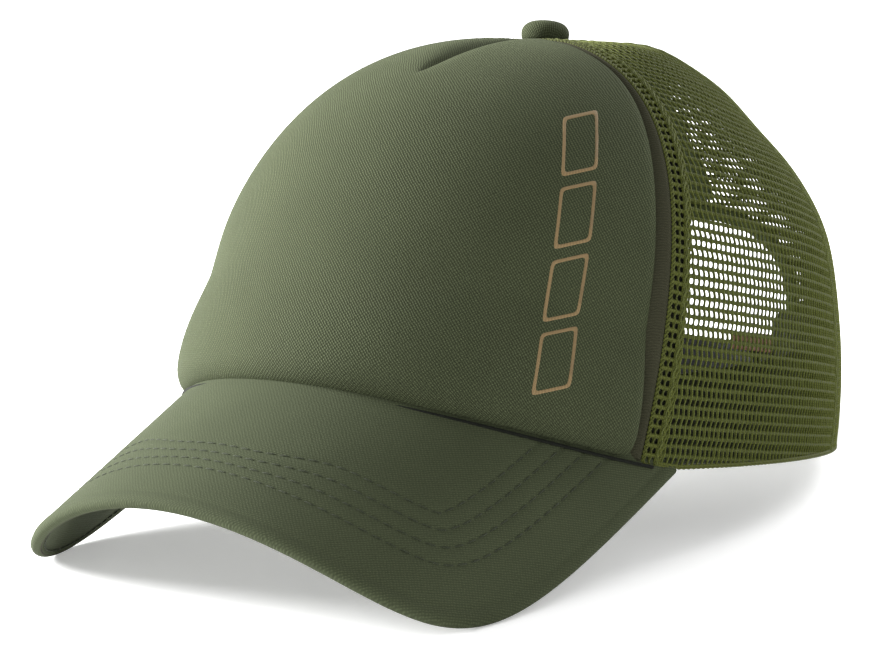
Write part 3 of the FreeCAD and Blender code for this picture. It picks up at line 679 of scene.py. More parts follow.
FRONT_CLOTH = twill("front_twill", srgb(69, 75, 53))
STRIP_CLOTH = twill("strip_twill", srgb(60, 60, 45), pitch=0.5, contrast=0.3)
VISOR_CLOTH = twill("visor_twill", srgb(66, 72, 52), contrast=0.5, fuzz=0.5, relief=0.14, sheen=0.05)
UNDER_CLOTH = twill("visor_under_twill", srgb(66, 71, 54), contrast=0.3, fuzz=0.5)
NET_YARN = knit("mesh_yarn", srgb(67, 73, 26))
# thin strands over the cords, coloured lighter than the mesh as a painted highlight
STRAND_YARN_HIGHLIT = knit("mesh_strands_painted_highlight", srgb(100, 108, 44), contrast=0.25)
BAND_YARN = knit("band_yarn", srgb(80, 86, 33), rib=0.5)
LIGHT_YARN = thread("light_thread", srgb(112, 122, 58))
BAND_THREAD = thread("band_thread", srgb(90, 98, 40))
# visor stitches: thread a little darker than the cloth, as painted shade along the stitch rows
VISOR_THREAD_SHADED = thread("visor_thread_painted_shade", srgb(54, 60, 42))
# near-black cord along the visor seam: painted shadow in the crease under the padded face
SEAM_SHADOW_CLOTH = plain_weave("seam_painted_shadow", srgb(17, 20, 12), sheen=0.0)
LIP_THREAD = plain_weave("lip_thread", srgb(46, 44, 28), sheen=0.0)
# seam allowance behind the band's holes, coloured near black as painted shade
BACKING_PAINTED_SHADE = plain_weave("band_backing_painted_shade", srgb(26, 29, 16))
TAPE_CLOTH = plain_weave("seam_tape", srgb(66, 76, 42))
SWEAT_CLOTH = plain_weave("sweatband_cloth", srgb(34, 38, 19), yarn=0.7)
LABEL_CLOTH = plain_weave("label_cloth", srgb(196, 190, 168), yarn=0.3)
TAB_RUBBER = plastic("tab_rubber", srgb(92, 58, 28), 0.6)
FOAM_LINING = foam("foam_lining", srgb(58, 64, 46))
STRAP_PLASTIC = plastic("strap_plastic", srgb(32, 34, 38))
BOARD_PLASTIC = plastic("visor_board", srgb(150, 150, 146), 0.55)
PRINT_INK = ink("print_ink", srgb(132, 110, 74))
BUTTON_STEEL = metal("button_steel", srgb(170, 170, 165))


# ---------------------------------------------------------------- front panel
FRONT_BULGE = (2.9, 32.0)  # swell above the visor and the height it spans
FRONT_WAIST = (1.0, 12.0)  # the face falls in above that swell: depth and spread
FRONT_TOP = 0.990  # the padded face ends here in front of the button
FRONT_LIFT = 0.4  # gap between the visor and the padded face's rolled foot
FRONT_OVERLAP = 1.4  # the padded face reaches this far over the strip
FRONT_ROLLS = ((3.2, 1.8), (2.0, 1.2), (7.0, 2.8))  # reach and drop of its rolled sides, top and foot
FRONT_ROLL_LIMIT = 4.0
FACE_THICKNESS = 0.6
LINING_DEPTHS = (0.65, 1.0, 3.9)  # foam below the face: its top, its least back and its even back
DART = (3.2, 1.0)  # depth and half width of the fine crease in front of the button
HOLLOW = (1.6, 4.5)  # and of the shallow hollow that it lies in
DART_SPAN = (0.63, 0.71, 0.90, 0.97)  # where in t each of them begins and ends
HOLLOW_SPAN = (0.62, 0.80, 0.84, 0.93)
SEAM_SHADOW_CORD = (64.0, 0.3, 0.42)  # last angle, drop below the rim and radius of the near-black cord along the visor seam, a painted shadow in the crease
INK_SECTION = ((0, -0.1), (0.08, 0.05), (0.25, 0.1), (0.75, 0.1), (0.92, 0.05), (1, -0.1))


def roll(distance, reach, drop):
    """Depth of a padded edge that rounds off within reach of the edge."""
    share = np.clip(distance / reach, 0, 1)
    return drop * (1 - np.sqrt(1 - (1 - share) ** 2))


def fade(t, span):
    """1 between the inner two of four places, falling to 0 at the outer two."""
    return smooth(t, span[0], span[1]) * smooth(-t, -span[3], -span[2])


def front_depth(theta, t):
    """Depth of the padded front: it swells above the visor and creases along the dart."""
    point = crown_surface(theta, t)
    rise = np.maximum(point[..., 2] - rim_height(theta), 0)
    swell = FRONT_BULGE[0] * np.sin(math.pi * np.sqrt(np.minimum(rise / FRONT_BULGE[1], 1)))
    swell = swell - FRONT_WAIST[0] * np.exp(-((rise - FRONT_BULGE[1]) / FRONT_WAIST[1]) ** 2)
    side = np.abs(point[..., 0])
    slit = DART[0] * np.exp(-side / DART[1]) * fade(t, DART_SPAN)
    hollow = HOLLOW[0] * np.exp(-(side / HOLLOW[1]) ** 2) * fade(t, HOLLOW_SPAN)
    return slit + hollow - swell


def front_place(u, v):
    """(theta, t) over the front panel: u crosses it and v climbs it."""
    side = 2 * u - 1
    edge_theta, edge_t = foam_seam(v * SIDE_RUN)
    theta = side * (edge_theta + arc_degrees(edge_theta, edge_t, FRONT_OVERLAP))
    low = t_at_height(theta, rim_height(theta) + FRONT_LIFT)
    high = FRONT_TOP - (FRONT_TOP - FOAM_TOP[0]) * np.abs(side) ** 1.4
    start = rim_t(foam_edge_angle(0.0))
    return theta, low + (high - low) * (edge_t - start) / (FOAM_TOP[0] - start)


def make_front():
    u = ease_ends(150, 0.03, 8)
    u = np.unique(np.concatenate([u, np.linspace(0.47, 0.53, 25)]))
    v = ease_ends(120, 0.04, 8)
    theta, t = front_place(u[:, None], v[None, :])
    base = crown_surface(theta, t)
    across, up = running_length(base, 0), running_length(base, 1)
    gaps = (np.minimum(across, across[-1] - across), up[:, -1:] - up, up)
    rolled = sum(roll(gap, *shape) for gap, shape in zip(gaps, FRONT_ROLLS))
    depth = front_depth(theta, t) + np.minimum(rolled, FRONT_ROLL_LIMIT)
    outer = crown_point(theta, t, depth)
    face = Piece()
    face.shell(outer, crown_point(theta, t, depth + FACE_THICKNESS))
    made = face.make("front_face", FRONT_CLOTH, ["front_panel_fabric"], "foam_front_fabric")
    declare_sheet(outer)
    lining = Piece()
    top, least, back = LINING_DEPTHS
    lining.shell(crown_point(theta, t, depth + top), crown_point(theta, t, np.maximum(depth + least, back)))
    padding = lining.make("front_foam", FOAM_LINING, ["front_panel_foam"], "foam")


def make_visor_crease_shadow():
    """Near-black cord along the sewn seam between the padded face and the visor: painted shadow in the
    crease.
    """
    end, below, radius = SEAM_SHADOW_CORD
    theta = np.linspace(-end, end, 400)
    t = t_at_height(theta, rim_height(theta) - below)
    outward = 0.2 + 0.35 * smooth(np.abs(theta), 4.0, 32.0)
    seam = Piece()
    seam.tube(crown_point(theta, t, -outward), crown_normal(theta, t), radius, 10)
    seam.make("visor_seam_painted_shadow", SEAM_SHADOW_CLOTH, slot="visor_fabric")


def make_print():
    """A leaning column of slanted open bars, printed just proud of the cloth."""
    piece = Piece()
    for index in range(PRINT_BARS):
        foot = PRINT_FOOT[1] + index * (PRINT_BAR[1] + PRINT_GAP)
        loops = []
        for inset in (0.0, PRINT_LINE):
            w, h = superellipse(96, PRINT_BAR[0] / 2 - inset, PRINT_BAR[1] / 2 - inset, 0.16)
            z = foot + PRINT_BAR[1] / 2 + h
            theta = PRINT_FOOT[0] + PRINT_LEAN * (z - PRINT_FOOT[1])
            t = t_at_height(theta, z + PRINT_SLANT * w / PRINT_BAR[0])
            loops.append((theta + arc_degrees(theta, t, w), t))
        (theta_out, t_out), (theta_in, t_in) = loops
        rings = []
        for share, height in INK_SECTION:
            theta = theta_out + (theta_in - theta_out) * share
            t = t_out + (t_in - t_out) * share
            rings.append(crown_point(theta, t, front_depth(theta, t) - height))
        piece.loft(np.stack(rings, 1)[::-1], closed=True)
    piece.make("front_print_bars", PRINT_INK, ["front_print"], "print_ink")


def make_strips():
    """Flat strip that frames the padded face, lower at the face than at the mesh."""
    run = np.linspace(0, 0.992, 150)[:, None]
    w, d = superellipse(28, 0.5, 0.5, 0.42)
    share = w[None] + 0.5
    inner_theta, inner_t = foam_seam(run)
    outer_theta, outer_t = strip_seam(run)
    theta = inner_theta + (outer_theta - inner_theta) * share
    t = inner_t + (outer_t - inner_t) * share
    low, climb = STRIP_DEPTH
    top = low - climb * smooth(share, 0.15, 0.72)
    piece = Piece()
    piece.loft(crown_point(theta, t, top + STRIP_THICKNESS / 2 - STRIP_THICKNESS * d[None])[::-1])
    make_pair(piece, "front_strip", STRIP_CLOTH, ["front_edge_strip"], "strip_fabric")


# ---------------------------------------------------------------- open mesh
CELL_BOUNDARY = [(-0.5, -0.5), (-0.25, -0.5), (0, -0.5), (0.25, -0.5), (0.5, -0.5), (0.5, 0),
                 (0.5, 0.5), (0.25, 0.5), (0, 0.5), (-0.25, 0.5), (-0.5, 0.5), (-0.5, 0)]


def net(piece, cells, pitch, place, hole, crest):
    """Open mesh: one ring of rounded yarn round every cell. cells holds the columns and rows of the
    kept cells with the offsets and leans that shift each one's foot and top sideways, place(a, b, depth)
    gives its points, hole its half opening and crest the height of its yarn, along and across."""
    columns, rows, offsets, leans = cells
    rim = np.array(CELL_BOUNDARY)
    corner = (np.abs(rim) == 0.5).all(1)
    gap = rim * 2 * hole * np.where(corner, 0.80, 1.0)[:, None]
    count = len(columns)
    size = RANDOM.uniform(0.93, 1.05, (count, 1))
    stir = RANDOM.uniform(-0.03, 0.03, (2, count, 1))
    crest_height = np.where(np.abs(rim[:, 1]) == 0.5, crest[0], crest[1])

    def lay(x, y, height):
        a = (columns[:, None] + offsets[:, None] + x + leans[:, None] * (y + 0.5)) * pitch
        b = (rows[:, None] + 0.5 + y) * NET_ROW
        return np.stack(np.broadcast_arrays(a, b, height), -1)
    hole_x, hole_y = gap[:, 0] * size + stir[0], gap[:, 1] * size + stir[1]
    middle_x, middle_y = (rim[:, 0] + hole_x) / 2, (rim[:, 1] + hole_y) / 2
    layers = np.stack([
        lay(rim[:, 0], rim[:, 1], crest_height), lay(middle_x, middle_y, crest_height * 0.78),
        lay(hole_x, hole_y, 0 * hole_x), lay(rim[:, 0], rim[:, 1], -crest_height * 0.8)], 1)
    keys = np.round(layers.reshape(-1, 3), 3)
    _, first, index = np.unique(keys, axis=0, return_index=True, return_inverse=True)
    index = index.reshape(count, 4, len(rim))
    flat = layers.reshape(-1, 3)[first]
    following = np.roll(index, -1, 2)
    faces = []
    for k in range(3):
        corners = [index[:, k], following[:, k], following[:, k + 1], index[:, k + 1]]
        faces.append(np.stack(corners, -1).reshape(-1, 4))
    start, end = index[:, 0].ravel(), following[:, 0].ravel()
    code = start.astype(np.int64) * len(flat) + end
    lone = ~np.isin(end.astype(np.int64) * len(flat) + start, code)
    start_in, end_in = index[:, 3].ravel(), following[:, 3].ravel()
    faces.append(np.stack([end, start, start_in, end_in], -1)[lone])
    points = place(flat[:, 0], flat[:, 1], NET_DEPTH - flat[:, 2])
    piece.add(points, np.concatenate(faces).tolist(), flat[:, :2])


class CrownChart:
    """Turns (across, up) in millimetres, measured from a meridian and its foot, into (theta, t)."""

    def __init__(self, middle, first, last, tilt=(0.0, 0.0)):
        self.tilt = tilt
        self.t = np.linspace(-0.05, 0.993, 420)
        self.up = running_length(crown_surface(middle, self.t), 0)
        self.up -= np.interp(rim_t(middle), self.t, self.up)
        theta = np.arange(first, last + 0.25, 0.5)
        arcs = running_length(crown_surface(theta[:, None], self.t[None]), 0)
        here = int(round((middle - first) / 0.5))
        arcs = arcs - arcs[here]
        self.across = np.arange(-90.0, 91.0)
        self.theta = np.stack([np.interp(self.across, arcs[:, j], theta) for j in range(len(self.t))])

    def __call__(self, across, row):
        up = row
        for _ in range(5):
            up = row - (self.tilt[0] + self.tilt[1] * (up / CROWN_HEIGHT) ** 2) * across
        t = np.interp(up, self.up, self.t)
        row = np.clip((t - self.t[0]) / (self.t[1] - self.t[0]), 0, len(self.t) - 1.001)
        column = np.clip(across - self.across[0], 0, len(self.across) - 1.001)
        i, j = row.astype(int), column.astype(int)
        y, x = row - i, column - j
        low = self.theta[i, j] * (1 - x) + self.theta[i, j + 1] * x
        high = self.theta[i + 1, j] * (1 - x) + self.theta[i + 1, j + 1] * x
        return low * (1 - y) + high * y, t


def lattice(chart, keep):
    """Cells of the mesh's pattern that keep() allows: their columns, rows, offsets and leans."""
    columns, rows = np.meshgrid(np.arange(-60, 60), np.arange(-6, 75))
    columns, rows = columns.ravel(), rows.ravel()
    offsets = (rows // 2 % 2) * 0.5
    leans = (rows % 2) * 0.5
    theta, t = chart((columns + offsets + leans / 2) * NET_PITCH, (rows + 0.5) * NET_ROW)
    kept = keep(theta, t)
    return columns[kept], rows[kept], offsets[kept], leans[kept]


def warp_yarns(piece, columns, rows, offsets, leans, place):
    """Thin yarn up the left side of every cell, over the cords; its lighter colour is a painted highlight.
    """
    share = np.array([-0.12, 0.08, 0.32, 0.68, 0.92, 1.12])
    arch = np.array([0.10, 0.32, 0.30, 0.30, 0.32, 0.10])
    upright = (leans == 0)[:, None]
    bow = 0.10 * upright * np.sin(math.pi * np.clip(share, 0, 1))
    stir = RANDOM.uniform(-0.05, 0.05, (len(columns), 1))
    a = ((columns + offsets - 0.5)[:, None] + leans[:, None] * share + bow + stir) * NET_PITCH
    b = (rows[:, None] + share) * NET_ROW
    points = place(a, b, NET_DEPTH - arch)
    normals = unit(points - place(a, b, NET_DEPTH + 1.0))
    piece.tubes(points, normals, 0.13, 5)


BAND_LINE = Line(*strip_seam(np.linspace(0, 1.0, 400)))


def past_band(points):
    """Distance beyond the strip's outer edge."""
    nearest = np.argmin(((points[:, None] - BAND_LINE.points[None, ::4]) ** 2).sum(-1), 1) * 4
    return ((points - BAND_LINE.points[nearest]) * BAND_LINE.sides[nearest]).sum(-1)


def above_rim(theta, t):
    return crown_surface(theta, t)[..., 2] - rim_height(theta)


def off_axis(points):
    return np.hypot(points[..., 0], points[..., 1] - CROWN_SHIFT)


RIM_ANGLES = np.linspace(-25.0, 195.0, 500)
RIM_FLOOR = t_at_height(RIM_ANGLES, rim_height(RIM_ANGLES) + 0.25)


def net_surface(chart):
    """Crown surface for a net, whose lowest cells are pressed flat into the hem."""
    def place(a, b, depth):
        theta, t = chart(a, b)
        below = np.maximum(np.interp(theta, RIM_ANGLES, RIM_FLOOR) - t, 0)
        return crown_point(theta, t + 0.85 * below, depth)
    return place


def make_nets(name, chart, keep):
    """A panel of open mesh and its warp yarns, the yarns coloured lighter as a painted highlight, on the
    left and on the right.
    """
    cells = lattice(chart, keep)
    piece = Piece()
    net(piece, cells, NET_PITCH, net_surface(chart), NET_HOLE, NET_CREST)
    strands = Piece()
    warp_yarns(strands, *cells, net_surface(chart))
    make_pair(strands, f"{name}_net_strands", STRAND_YARN_HIGHLIT, slot="olive_mesh")
    for made in make_pair(piece, f"{name}_net", NET_YARN, [f"{name}_mesh"], "olive_mesh"):
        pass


def on_panel(theta, t, point):
    """Where a cell lies above the rim and clear of the button."""
    return (above_rim(theta, t) > 0.3) & (off_axis(point) > 5.0)


def in_side_panel(theta, t):
    point = crown_surface(theta, t)
    beside_band = past_band(point) > BAND_WIDTH - 1.3
    return beside_band & (theta < SIDE_BACK_SEAM) & (theta > -15) & on_panel(theta, t, point)


def in_back_panel(theta, t):
    point = crown_surface(theta, t)
    behind_seam = (theta > SIDE_BACK_SEAM) & (theta < 180)
    return behind_seam & outside_arch(point, 3.0) & on_panel(theta, t, point)


def outside_arch(point, margin):
    """Where a rear point lies beyond the opening's outline, moved out by margin."""
    wide, tall = ARCH_HALF_WIDTH + margin, ARCH_RISE + margin
    x, z = np.abs(point[..., 0]), point[..., 2]
    above = z > ARCH_SPRING_Z
    return np.where(above, (x / wide) ** 2 + ((z - ARCH_SPRING_Z) / tall) ** 2 > 1, x > wide)


def make_bands():
    """Doubled mesh along the strip: a chain of loops, two columns of holes and plain cords."""
    line = BAND_LINE
    backing = Piece()
    # the seam allowance behind the holes; its near-black colour is painted shade
    line.ribbon(backing, (0.2, BAND_WIDTH), (1.25, 1.75))
    make_pair(backing, "band_backing_painted_shade", BACKING_PAINTED_SHADE, slot="olive_mesh")
    piece = Piece()
    count = int(line.total / NET_ROW)
    columns, rows = np.meshgrid(np.arange(2), np.arange(count))
    columns, rows = columns.ravel(), rows.ravel()

    def place(a, b, depth):
        return line.at(b, a + 0.7, depth)
    still = np.zeros(len(columns))
    net(piece, (columns + 0.5, rows, still, still), BAND_PITCH, place, BAND_HOLE, BAND_CREST)
    for phase in (0.0, 0.5):
        line.cord(piece, 0.55, 0.40, 0.28, (0.40, NET_ROW, phase), 0.16)
    for across, phase in ((2.35, 0.3), (4.0, 0.8)):
        line.cord(piece, across, 0.15, 0.20, (0.26, NET_ROW, phase), 0.10)
    for across, phase in ((4.35, 0.2), (4.95, 0.7), (5.5, 0.1)):
        line.cord(piece, across, 0.50, 0.36, (0.20, NET_ROW, phase), 0.12)
    make_pair(piece, "seam_band_mesh", BAND_YARN, ["seam_band"], "olive_mesh")
    sewing = Piece()
    line.cord(sewing, 4.3, 0.0, 0.17, (0.30, NET_ROW * 2, 0.0), 0.10)
    make_pair(sewing, "band_topstitch", BAND_THREAD, slot="olive_mesh")


def meridian(theta, low, high):
    t = np.linspace(low, high, 160)
    return Line(np.full(len(t), float(theta)), t)


def make_seam_ridge(name, line, paired):
    """Sewn seam between two mesh panels: a ridge of four cords with one row of stitches."""
    ridge = Piece()
    line.ribbon(ridge, (-2.2, 2.2), (0.2, 1.1), power=0.6)
    for across, phase in ((-1.7, 0.0), (-0.6, 0.5), (0.6, 0.0), (1.7, 0.5)):
        line.cord(ridge, across, 0.35, 0.30, (0.12, NET_ROW, phase), 0.06)
    sewing = Piece()
    line.cord(sewing, -1.2, 0.05, 0.17, (0.22, NET_ROW * 2, 0.0), 0.08)
    for piece, full_name, material in ((ridge, name, BAND_YARN), (sewing, name + "_stitches", LIGHT_YARN)):
        if paired:
            make_pair(piece, full_name, material, slot="olive_mesh")
        else:
            piece.make(full_name, material, slot="olive_mesh")


def make_hem():
    """Folded lower edge of the mesh, from the band to the rear opening."""
    theta = np.linspace(65.0, 157.5, 220)
    line = Line(theta, rim_t(theta))
    piece = Piece()
    line.ribbon(piece, (-1.15, -0.1), (0.25, 1.3), power=0.8, step=0.6)
    for across, phase in ((-0.35, 0.0), (-0.9, 0.5)):
        line.cord(piece, across, 0.35, 0.30, (0.10, NET_PITCH, phase), 0.06)
    make_pair(piece, "mesh_hem", BAND_YARN, slot="olive_mesh")


# ---------------------------------------------------------------- rear opening
def rear_place(x, z):
    """(theta, t) of the rear surface point with the given x and height."""
    t = np.full(np.shape(x), 0.3)
    for _ in range(12):
        width = sum(b * line[0] for b, line in zip(bernstein(t), SIDE_LINE))
        theta = 180 - np.degrees(np.arcsin(np.clip(x / width, -1, 1)))
        t = t_at_height(theta, z)
    return theta, t


def arch_outline(count, margin):
    """x and z round the opening, moved out by margin: up one leg, over and down the other."""
    wide, tall = ARCH_HALF_WIDTH + margin, ARCH_RISE + margin
    foot = 0.4
    legs = max(int(count * 0.25), 4)
    rise = np.linspace(foot, ARCH_SPRING_Z, legs, endpoint=False)
    angle = np.linspace(0, math.pi, count - 2 * legs)
    x = np.concatenate([np.full(legs, wide), wide * np.cos(angle), np.full(legs, -wide)])
    z = np.concatenate([rise, ARCH_SPRING_Z + tall * np.sin(angle), rise[::-1]])
    return x, z


def make_rear_binding():
    """Folded cloth round the rear opening, sewn down with two rows of stitches."""
    count = 150
    low, high = BINDING_DEPTHS
    w, d = superellipse(28, BINDING_WIDTH / 2, (high - low) / 2, 0.5)
    rings = []
    for beside, depth in zip(BINDING_WIDTH / 2 + w, (low + high) / 2 - d):
        theta, t = rear_place(*arch_outline(count, beside))
        rings.append(crown_point(theta, t, depth))
    binding = Piece()
    binding.loft(np.stack(rings, 1))
    binding.make("rear_binding_cloth", TAPE_CLOTH, ["rear_opening_binding"], "olive_tape")
    sewing = Piece()
    for beside in (0.9, 3.6):
        theta, t = rear_place(*arch_outline(500, beside))
        sew(sewing, crown_point(theta, t, -0.5), crown_normal(theta, t), *BINDING_STITCH)
    sewing.make("rear_binding_stitches", LIGHT_YARN, slot="olive_tape")


# ---------------------------------------------------------------- inside
def make_tapes():
    """Cotton tapes over the seams, inside."""
    side = Piece()
    line = meridian(SIDE_BACK_SEAM, rim_t(SIDE_BACK_SEAM) + 0.02, 0.95)
    line.ribbon(side, TAPE_SPAN, TAPE_DEPTHS, (0.0, line.total * 0.75))
    line.ribbon(side, (-3.5, 3.5), (1.30, 1.80), (line.total * 0.74, line.total))
    along = np.arange(0.5, line.total * 0.75, 0.4)
    for across in (-4.6, 4.6):
        sew(side, line.at(along, across, 1.85), -line.normal(along), *TAPE_STITCH)
    make_pair(side, "side_tape", TAPE_CLOTH, ["side_seam_tape"], "olive_tape")
    front = Piece()
    line = Line(*foam_seam(np.linspace(0.16, 0.68, 120)))
    line.ribbon(front, (-12.5, -0.5), (4.0, 4.5))
    make_pair(front, "front_tape", TAPE_CLOTH, ["front_seam_tape"], "olive_tape")
    back = Piece()
    line = meridian(180.0, float(t_at_height(180.0, 66.5)), 0.95)
    line.ribbon(back, TAPE_SPAN, TAPE_DEPTHS)
    back.make("back_tape", TAPE_CLOTH, ["back_seam_tape"], "olive_tape")


def sweatband_depth(theta, height):
    """Depth of the sweatband, whose foot is sewn close to the rim behind the visor."""
    side = np.abs(theta)
    hang = 4.4 - 2.2 * smooth(side, VISOR_CORNER, VISOR_CORNER + 18.0) + 4.3 * smooth(side, 133.0, 147.0)
    sewn = smooth(side, VISOR_CORNER + 6.0, VISOR_CORNER + 26.0) * (1 - smooth(height, 0.0, 4.8))
    return hang - (hang - SWEATBAND_SEWN) * sewn


def sweatband_top(theta):
    """Height of the sweatband's upper edge; it climbs from the visor's ends to the back."""
    side = np.abs(theta)
    climb = np.clip((side - VISOR_CORNER) / (150.0 - VISOR_CORNER), 0, 1)
    corner = roll((SWEATBAND_END - side) * 1.6, 6.0, 6.0)
    low, high = SWEATBAND_HEIGHT
    return rim_height(theta) + low + (high - low) * climb - corner


def make_sweatband():
    """Folded band round the inside, with a row of stitches along each edge."""
    u = ease_ends(260, 0.02, 8)[:, None]
    v = ease_ends(18, 0.10, 5)[None, :]
    theta = SWEATBAND_END * (2 * u - 1)
    foot = rim_height(theta) + SWEATBAND_LIFT
    tall = sweatband_top(theta) - foot
    t = t_at_height(theta, foot + tall * v)
    bulge = 0.25 * np.abs(np.sin(np.radians(theta) * 37)) * (1 - v) * v * 4
    hem = roll(v * tall, 1.2, 0.9) + roll((1 - v) * tall, 1.2, 0.9)
    depth = sweatband_depth(theta, v * tall)
    outer = crown_point(theta, t, depth + hem)
    piece = Piece()
    piece.shell(outer, crown_point(theta, t, depth + SWEATBAND_THICKNESS - hem + bulge))
    made = piece.make("sweatband_cloth", SWEAT_CLOTH, ["sweatband"], "sweatband_fabric")
    declare_sheet(outer)
    sewing = Piece()
    angle = np.linspace(1 - SWEATBAND_END, SWEATBAND_END - 1, 1100)
    for height in (rim_height(angle) + 2.6, sweatband_top(angle) - 2.6):
        t = t_at_height(angle, height)
        depth = sweatband_depth(angle, height - rim_height(angle) - SWEATBAND_LIFT) + 2.15
        sew(sewing, crown_point(angle, t, depth), -crown_normal(angle, t), *SWEATBAND_STITCH)
    sewing.make("sweatband_stitches", LIGHT_YARN, slot="sweatband_fabric")


def make_label():
    """Blank woven label on the sweatband, slightly rippled."""
    u = np.linspace(0, 1, 30)[:, None]
    v = np.linspace(0, 1, 14)[None, :]
    theta = LABEL_HALF_ANGLE * (2 * u - 1)
    t = t_at_height(theta, rim_height(theta) + LABEL_Z[0] + LABEL_Z[1] * v)
    depth = LABEL_DEPTH + 0.1 * np.sin(9 * u) * v
    outer = crown_point(theta, t, depth)
    piece = Piece()
    piece.shell(outer, crown_point(theta, t, depth + LABEL_THICKNESS))
    made = piece.make("label_cloth_blank", LABEL_CLOTH, ["blank_label"], "label_fabric")
    declare_sheet(outer)


# ---------------------------------------------------------------- visor
def visor_bend(flat, depth):
    """Points at a depth below the visor's top, from (across, forward) on the board laid flat."""
    across, forward = flat[..., 0], flat[..., 1]
    angle = across / VISOR_RADIUS
    drop = VISOR_RADIUS - (VISOR_RADIUS - depth) * np.cos(angle)
    y = -FRONT_LINE[0][0] - forward * math.cos(VISOR_FALL) + drop * math.sin(VISOR_FALL)
    z = VISOR_CREST_Z - forward * math.sin(VISOR_FALL) - drop * math.cos(VISOR_FALL)
    return np.stack([(VISOR_RADIUS - depth) * np.sin(angle), y, z], -1)


def visor_flat(x, y):
    """(across, forward) on the flat board of the top point with the given x and y."""
    angle = np.arcsin(x / VISOR_RADIUS)
    drop = VISOR_RADIUS * (1 - np.cos(angle))
    forward = (drop * math.sin(VISOR_FALL) - y - FRONT_LINE[0][0]) / math.cos(VISOR_FALL)
    return np.stack([VISOR_RADIUS * angle, forward], -1)


def on_visor(flat, depth, side):
    """Points at a depth, and normals that point up (side 1) or down (side -1)."""
    up = unit(visor_bend(flat, -1.0) - visor_bend(flat, 0.0))
    return visor_bend(flat, depth), side * up


def visor_inner(share, tuck=VISOR_TUCK):
    """The board's inner edge; share runs from -1 to 1 across the visor."""
    theta = VISOR_CORNER * share
    edge = crown_point(theta, rim_t(theta), tuck)
    return visor_flat(edge[..., 0], edge[..., 1])


def visor_outer(share):
    """The board's outer edge."""
    corner = crown_surface(VISOR_CORNER, 0.0)
    start = visor_flat(corner[0], corner[1])
    handle = start + VISOR_SIDE_HANDLE * np.array([math.cos(VISOR_SIDE_ANGLE), math.sin(VISOR_SIDE_ANGLE)])
    points = [start, handle, (VISOR_FRONT_HANDLE, VISOR_LENGTH), (0.0, VISOR_LENGTH)]
    b = bernstein(1 - np.abs(share))
    across = sum(b[i] * points[i][0] for i in range(4))
    return np.stack([np.sign(share) * across, sum(b[i] * points[i][1] for i in range(4))], -1)


def visor_edge_inset(share, inset):
    """A line inside the outer edge, moved in by inset."""
    run = unit(visor_outer(np.minimum(share + 0.002, 1)) - visor_outer(np.maximum(share - 0.002, -1)))
    square = np.stack([run[..., 1], -run[..., 0]], -1)
    return visor_outer(share) + square * np.asarray(inset, float)[..., None]


OUTLINE = visor_outer(np.linspace(-1, 1, 1201))
INNER_OUTLINE = visor_inner(np.linspace(-1, 1, 601), 0.0)


def distance_to(flat, outline):
    points = flat.reshape(-1, 2)
    nearest = np.empty(len(points))
    for start in range(0, len(points), 4000):
        part = points[start:start + 4000]
        nearest[start:start + 4000] = np.sqrt(((part[:, None] - outline[None]) ** 2).sum(-1).min(1))
    return nearest.reshape(flat.shape[:-1])


def stitch_inset(row, side):
    """Distance of a row of stitches from the visor's edge; side is how far across it lies, 0 to 1."""
    first, step, widening = VISOR_ROW_INSET
    return first + row * (step + widening * smooth(side, 0.1, 0.4))


def visor_dips(flat):
    """1 along each row of stitches, fading to 0 beside it."""
    inset = distance_to(flat, OUTLINE)
    side = np.abs(flat[..., 0]) / OUTLINE[:, 0].max()
    return sum(np.exp(-((inset - stitch_inset(row, side)) / 0.75) ** 2) for row in range(VISOR_ROWS))


def visor_relief(flat):
    """Depth of the top cover: dips along the stitches and a faint groove behind the rolled edge."""
    inset = distance_to(flat, OUTLINE)
    groove = 0.22 * np.exp(-((inset - 3.9) / 0.7) ** 2)
    ridge = 0.12 * np.exp(-((inset - 2.0) / 1.3) ** 2)
    return 0.30 * visor_dips(flat) + groove - ridge


def make_visor_top():
    """Cloth over the board that wraps round its edge and is caught in a seam below."""
    share = VISOR_REACH * np.linspace(-1, 1, 281)
    radius = VISOR_EDGE_RADIUS
    inner = visor_inner(share)
    start = visor_edge_inset(share, np.full(len(share), radius))
    v = np.concatenate([np.linspace(0, 0.88, 76), np.linspace(0.89, 1.0, 22)])[None, :, None]
    top = inner[:, None] * (1 - v) + start[:, None] * v
    relief = visor_relief(top)
    angle = np.linspace(0, math.pi * 1.02, 18)[1:]
    lip = [np.linspace(0.25, 1.3, 4), np.linspace(0.02, 0.35, 4)]

    def side(inward):
        r = radius - inward
        inset = np.concatenate([radius - r * np.sin(angle), radius + lip[0]])
        depth = np.concatenate([radius - r * np.cos(angle), 2 * radius - inward - lip[1] * (1 - inward)])
        size = (len(share), len(inset))
        edge = visor_edge_inset(np.broadcast_to(share[:, None], size), np.broadcast_to(inset, size))
        flats = np.concatenate([top, edge], 1)
        depths = np.concatenate([relief + inward, np.broadcast_to(depth, size)], 1)
        return visor_bend(flats, depths)[:, ::-1], flats[:, ::-1]
    outer, flats = side(0.0)
    piece = Piece()
    piece.shell(outer, side(COVER_THICKNESS)[0], flats)
    nodes = ["visor_top_cover", "visor_edge_binding"]
    made = piece.make("visor_top_cloth", VISOR_CLOTH, nodes, "visor_fabric")
    declare_sheet(outer)


def make_visor_lip():
    """Dark seam where the rolled edge is caught below, beside the under cloth."""
    inset, depth, radius = EDGE_SEAM
    share = VISOR_REACH * np.linspace(-0.99, 0.99, 900)
    flat = visor_edge_inset(share, np.full(len(share), inset))
    lip = Piece()
    lip.tube(*on_visor(flat, depth, -1), radius, 10)
    lip.make("visor_edge_seam", LIP_THREAD, slot="visor_fabric")


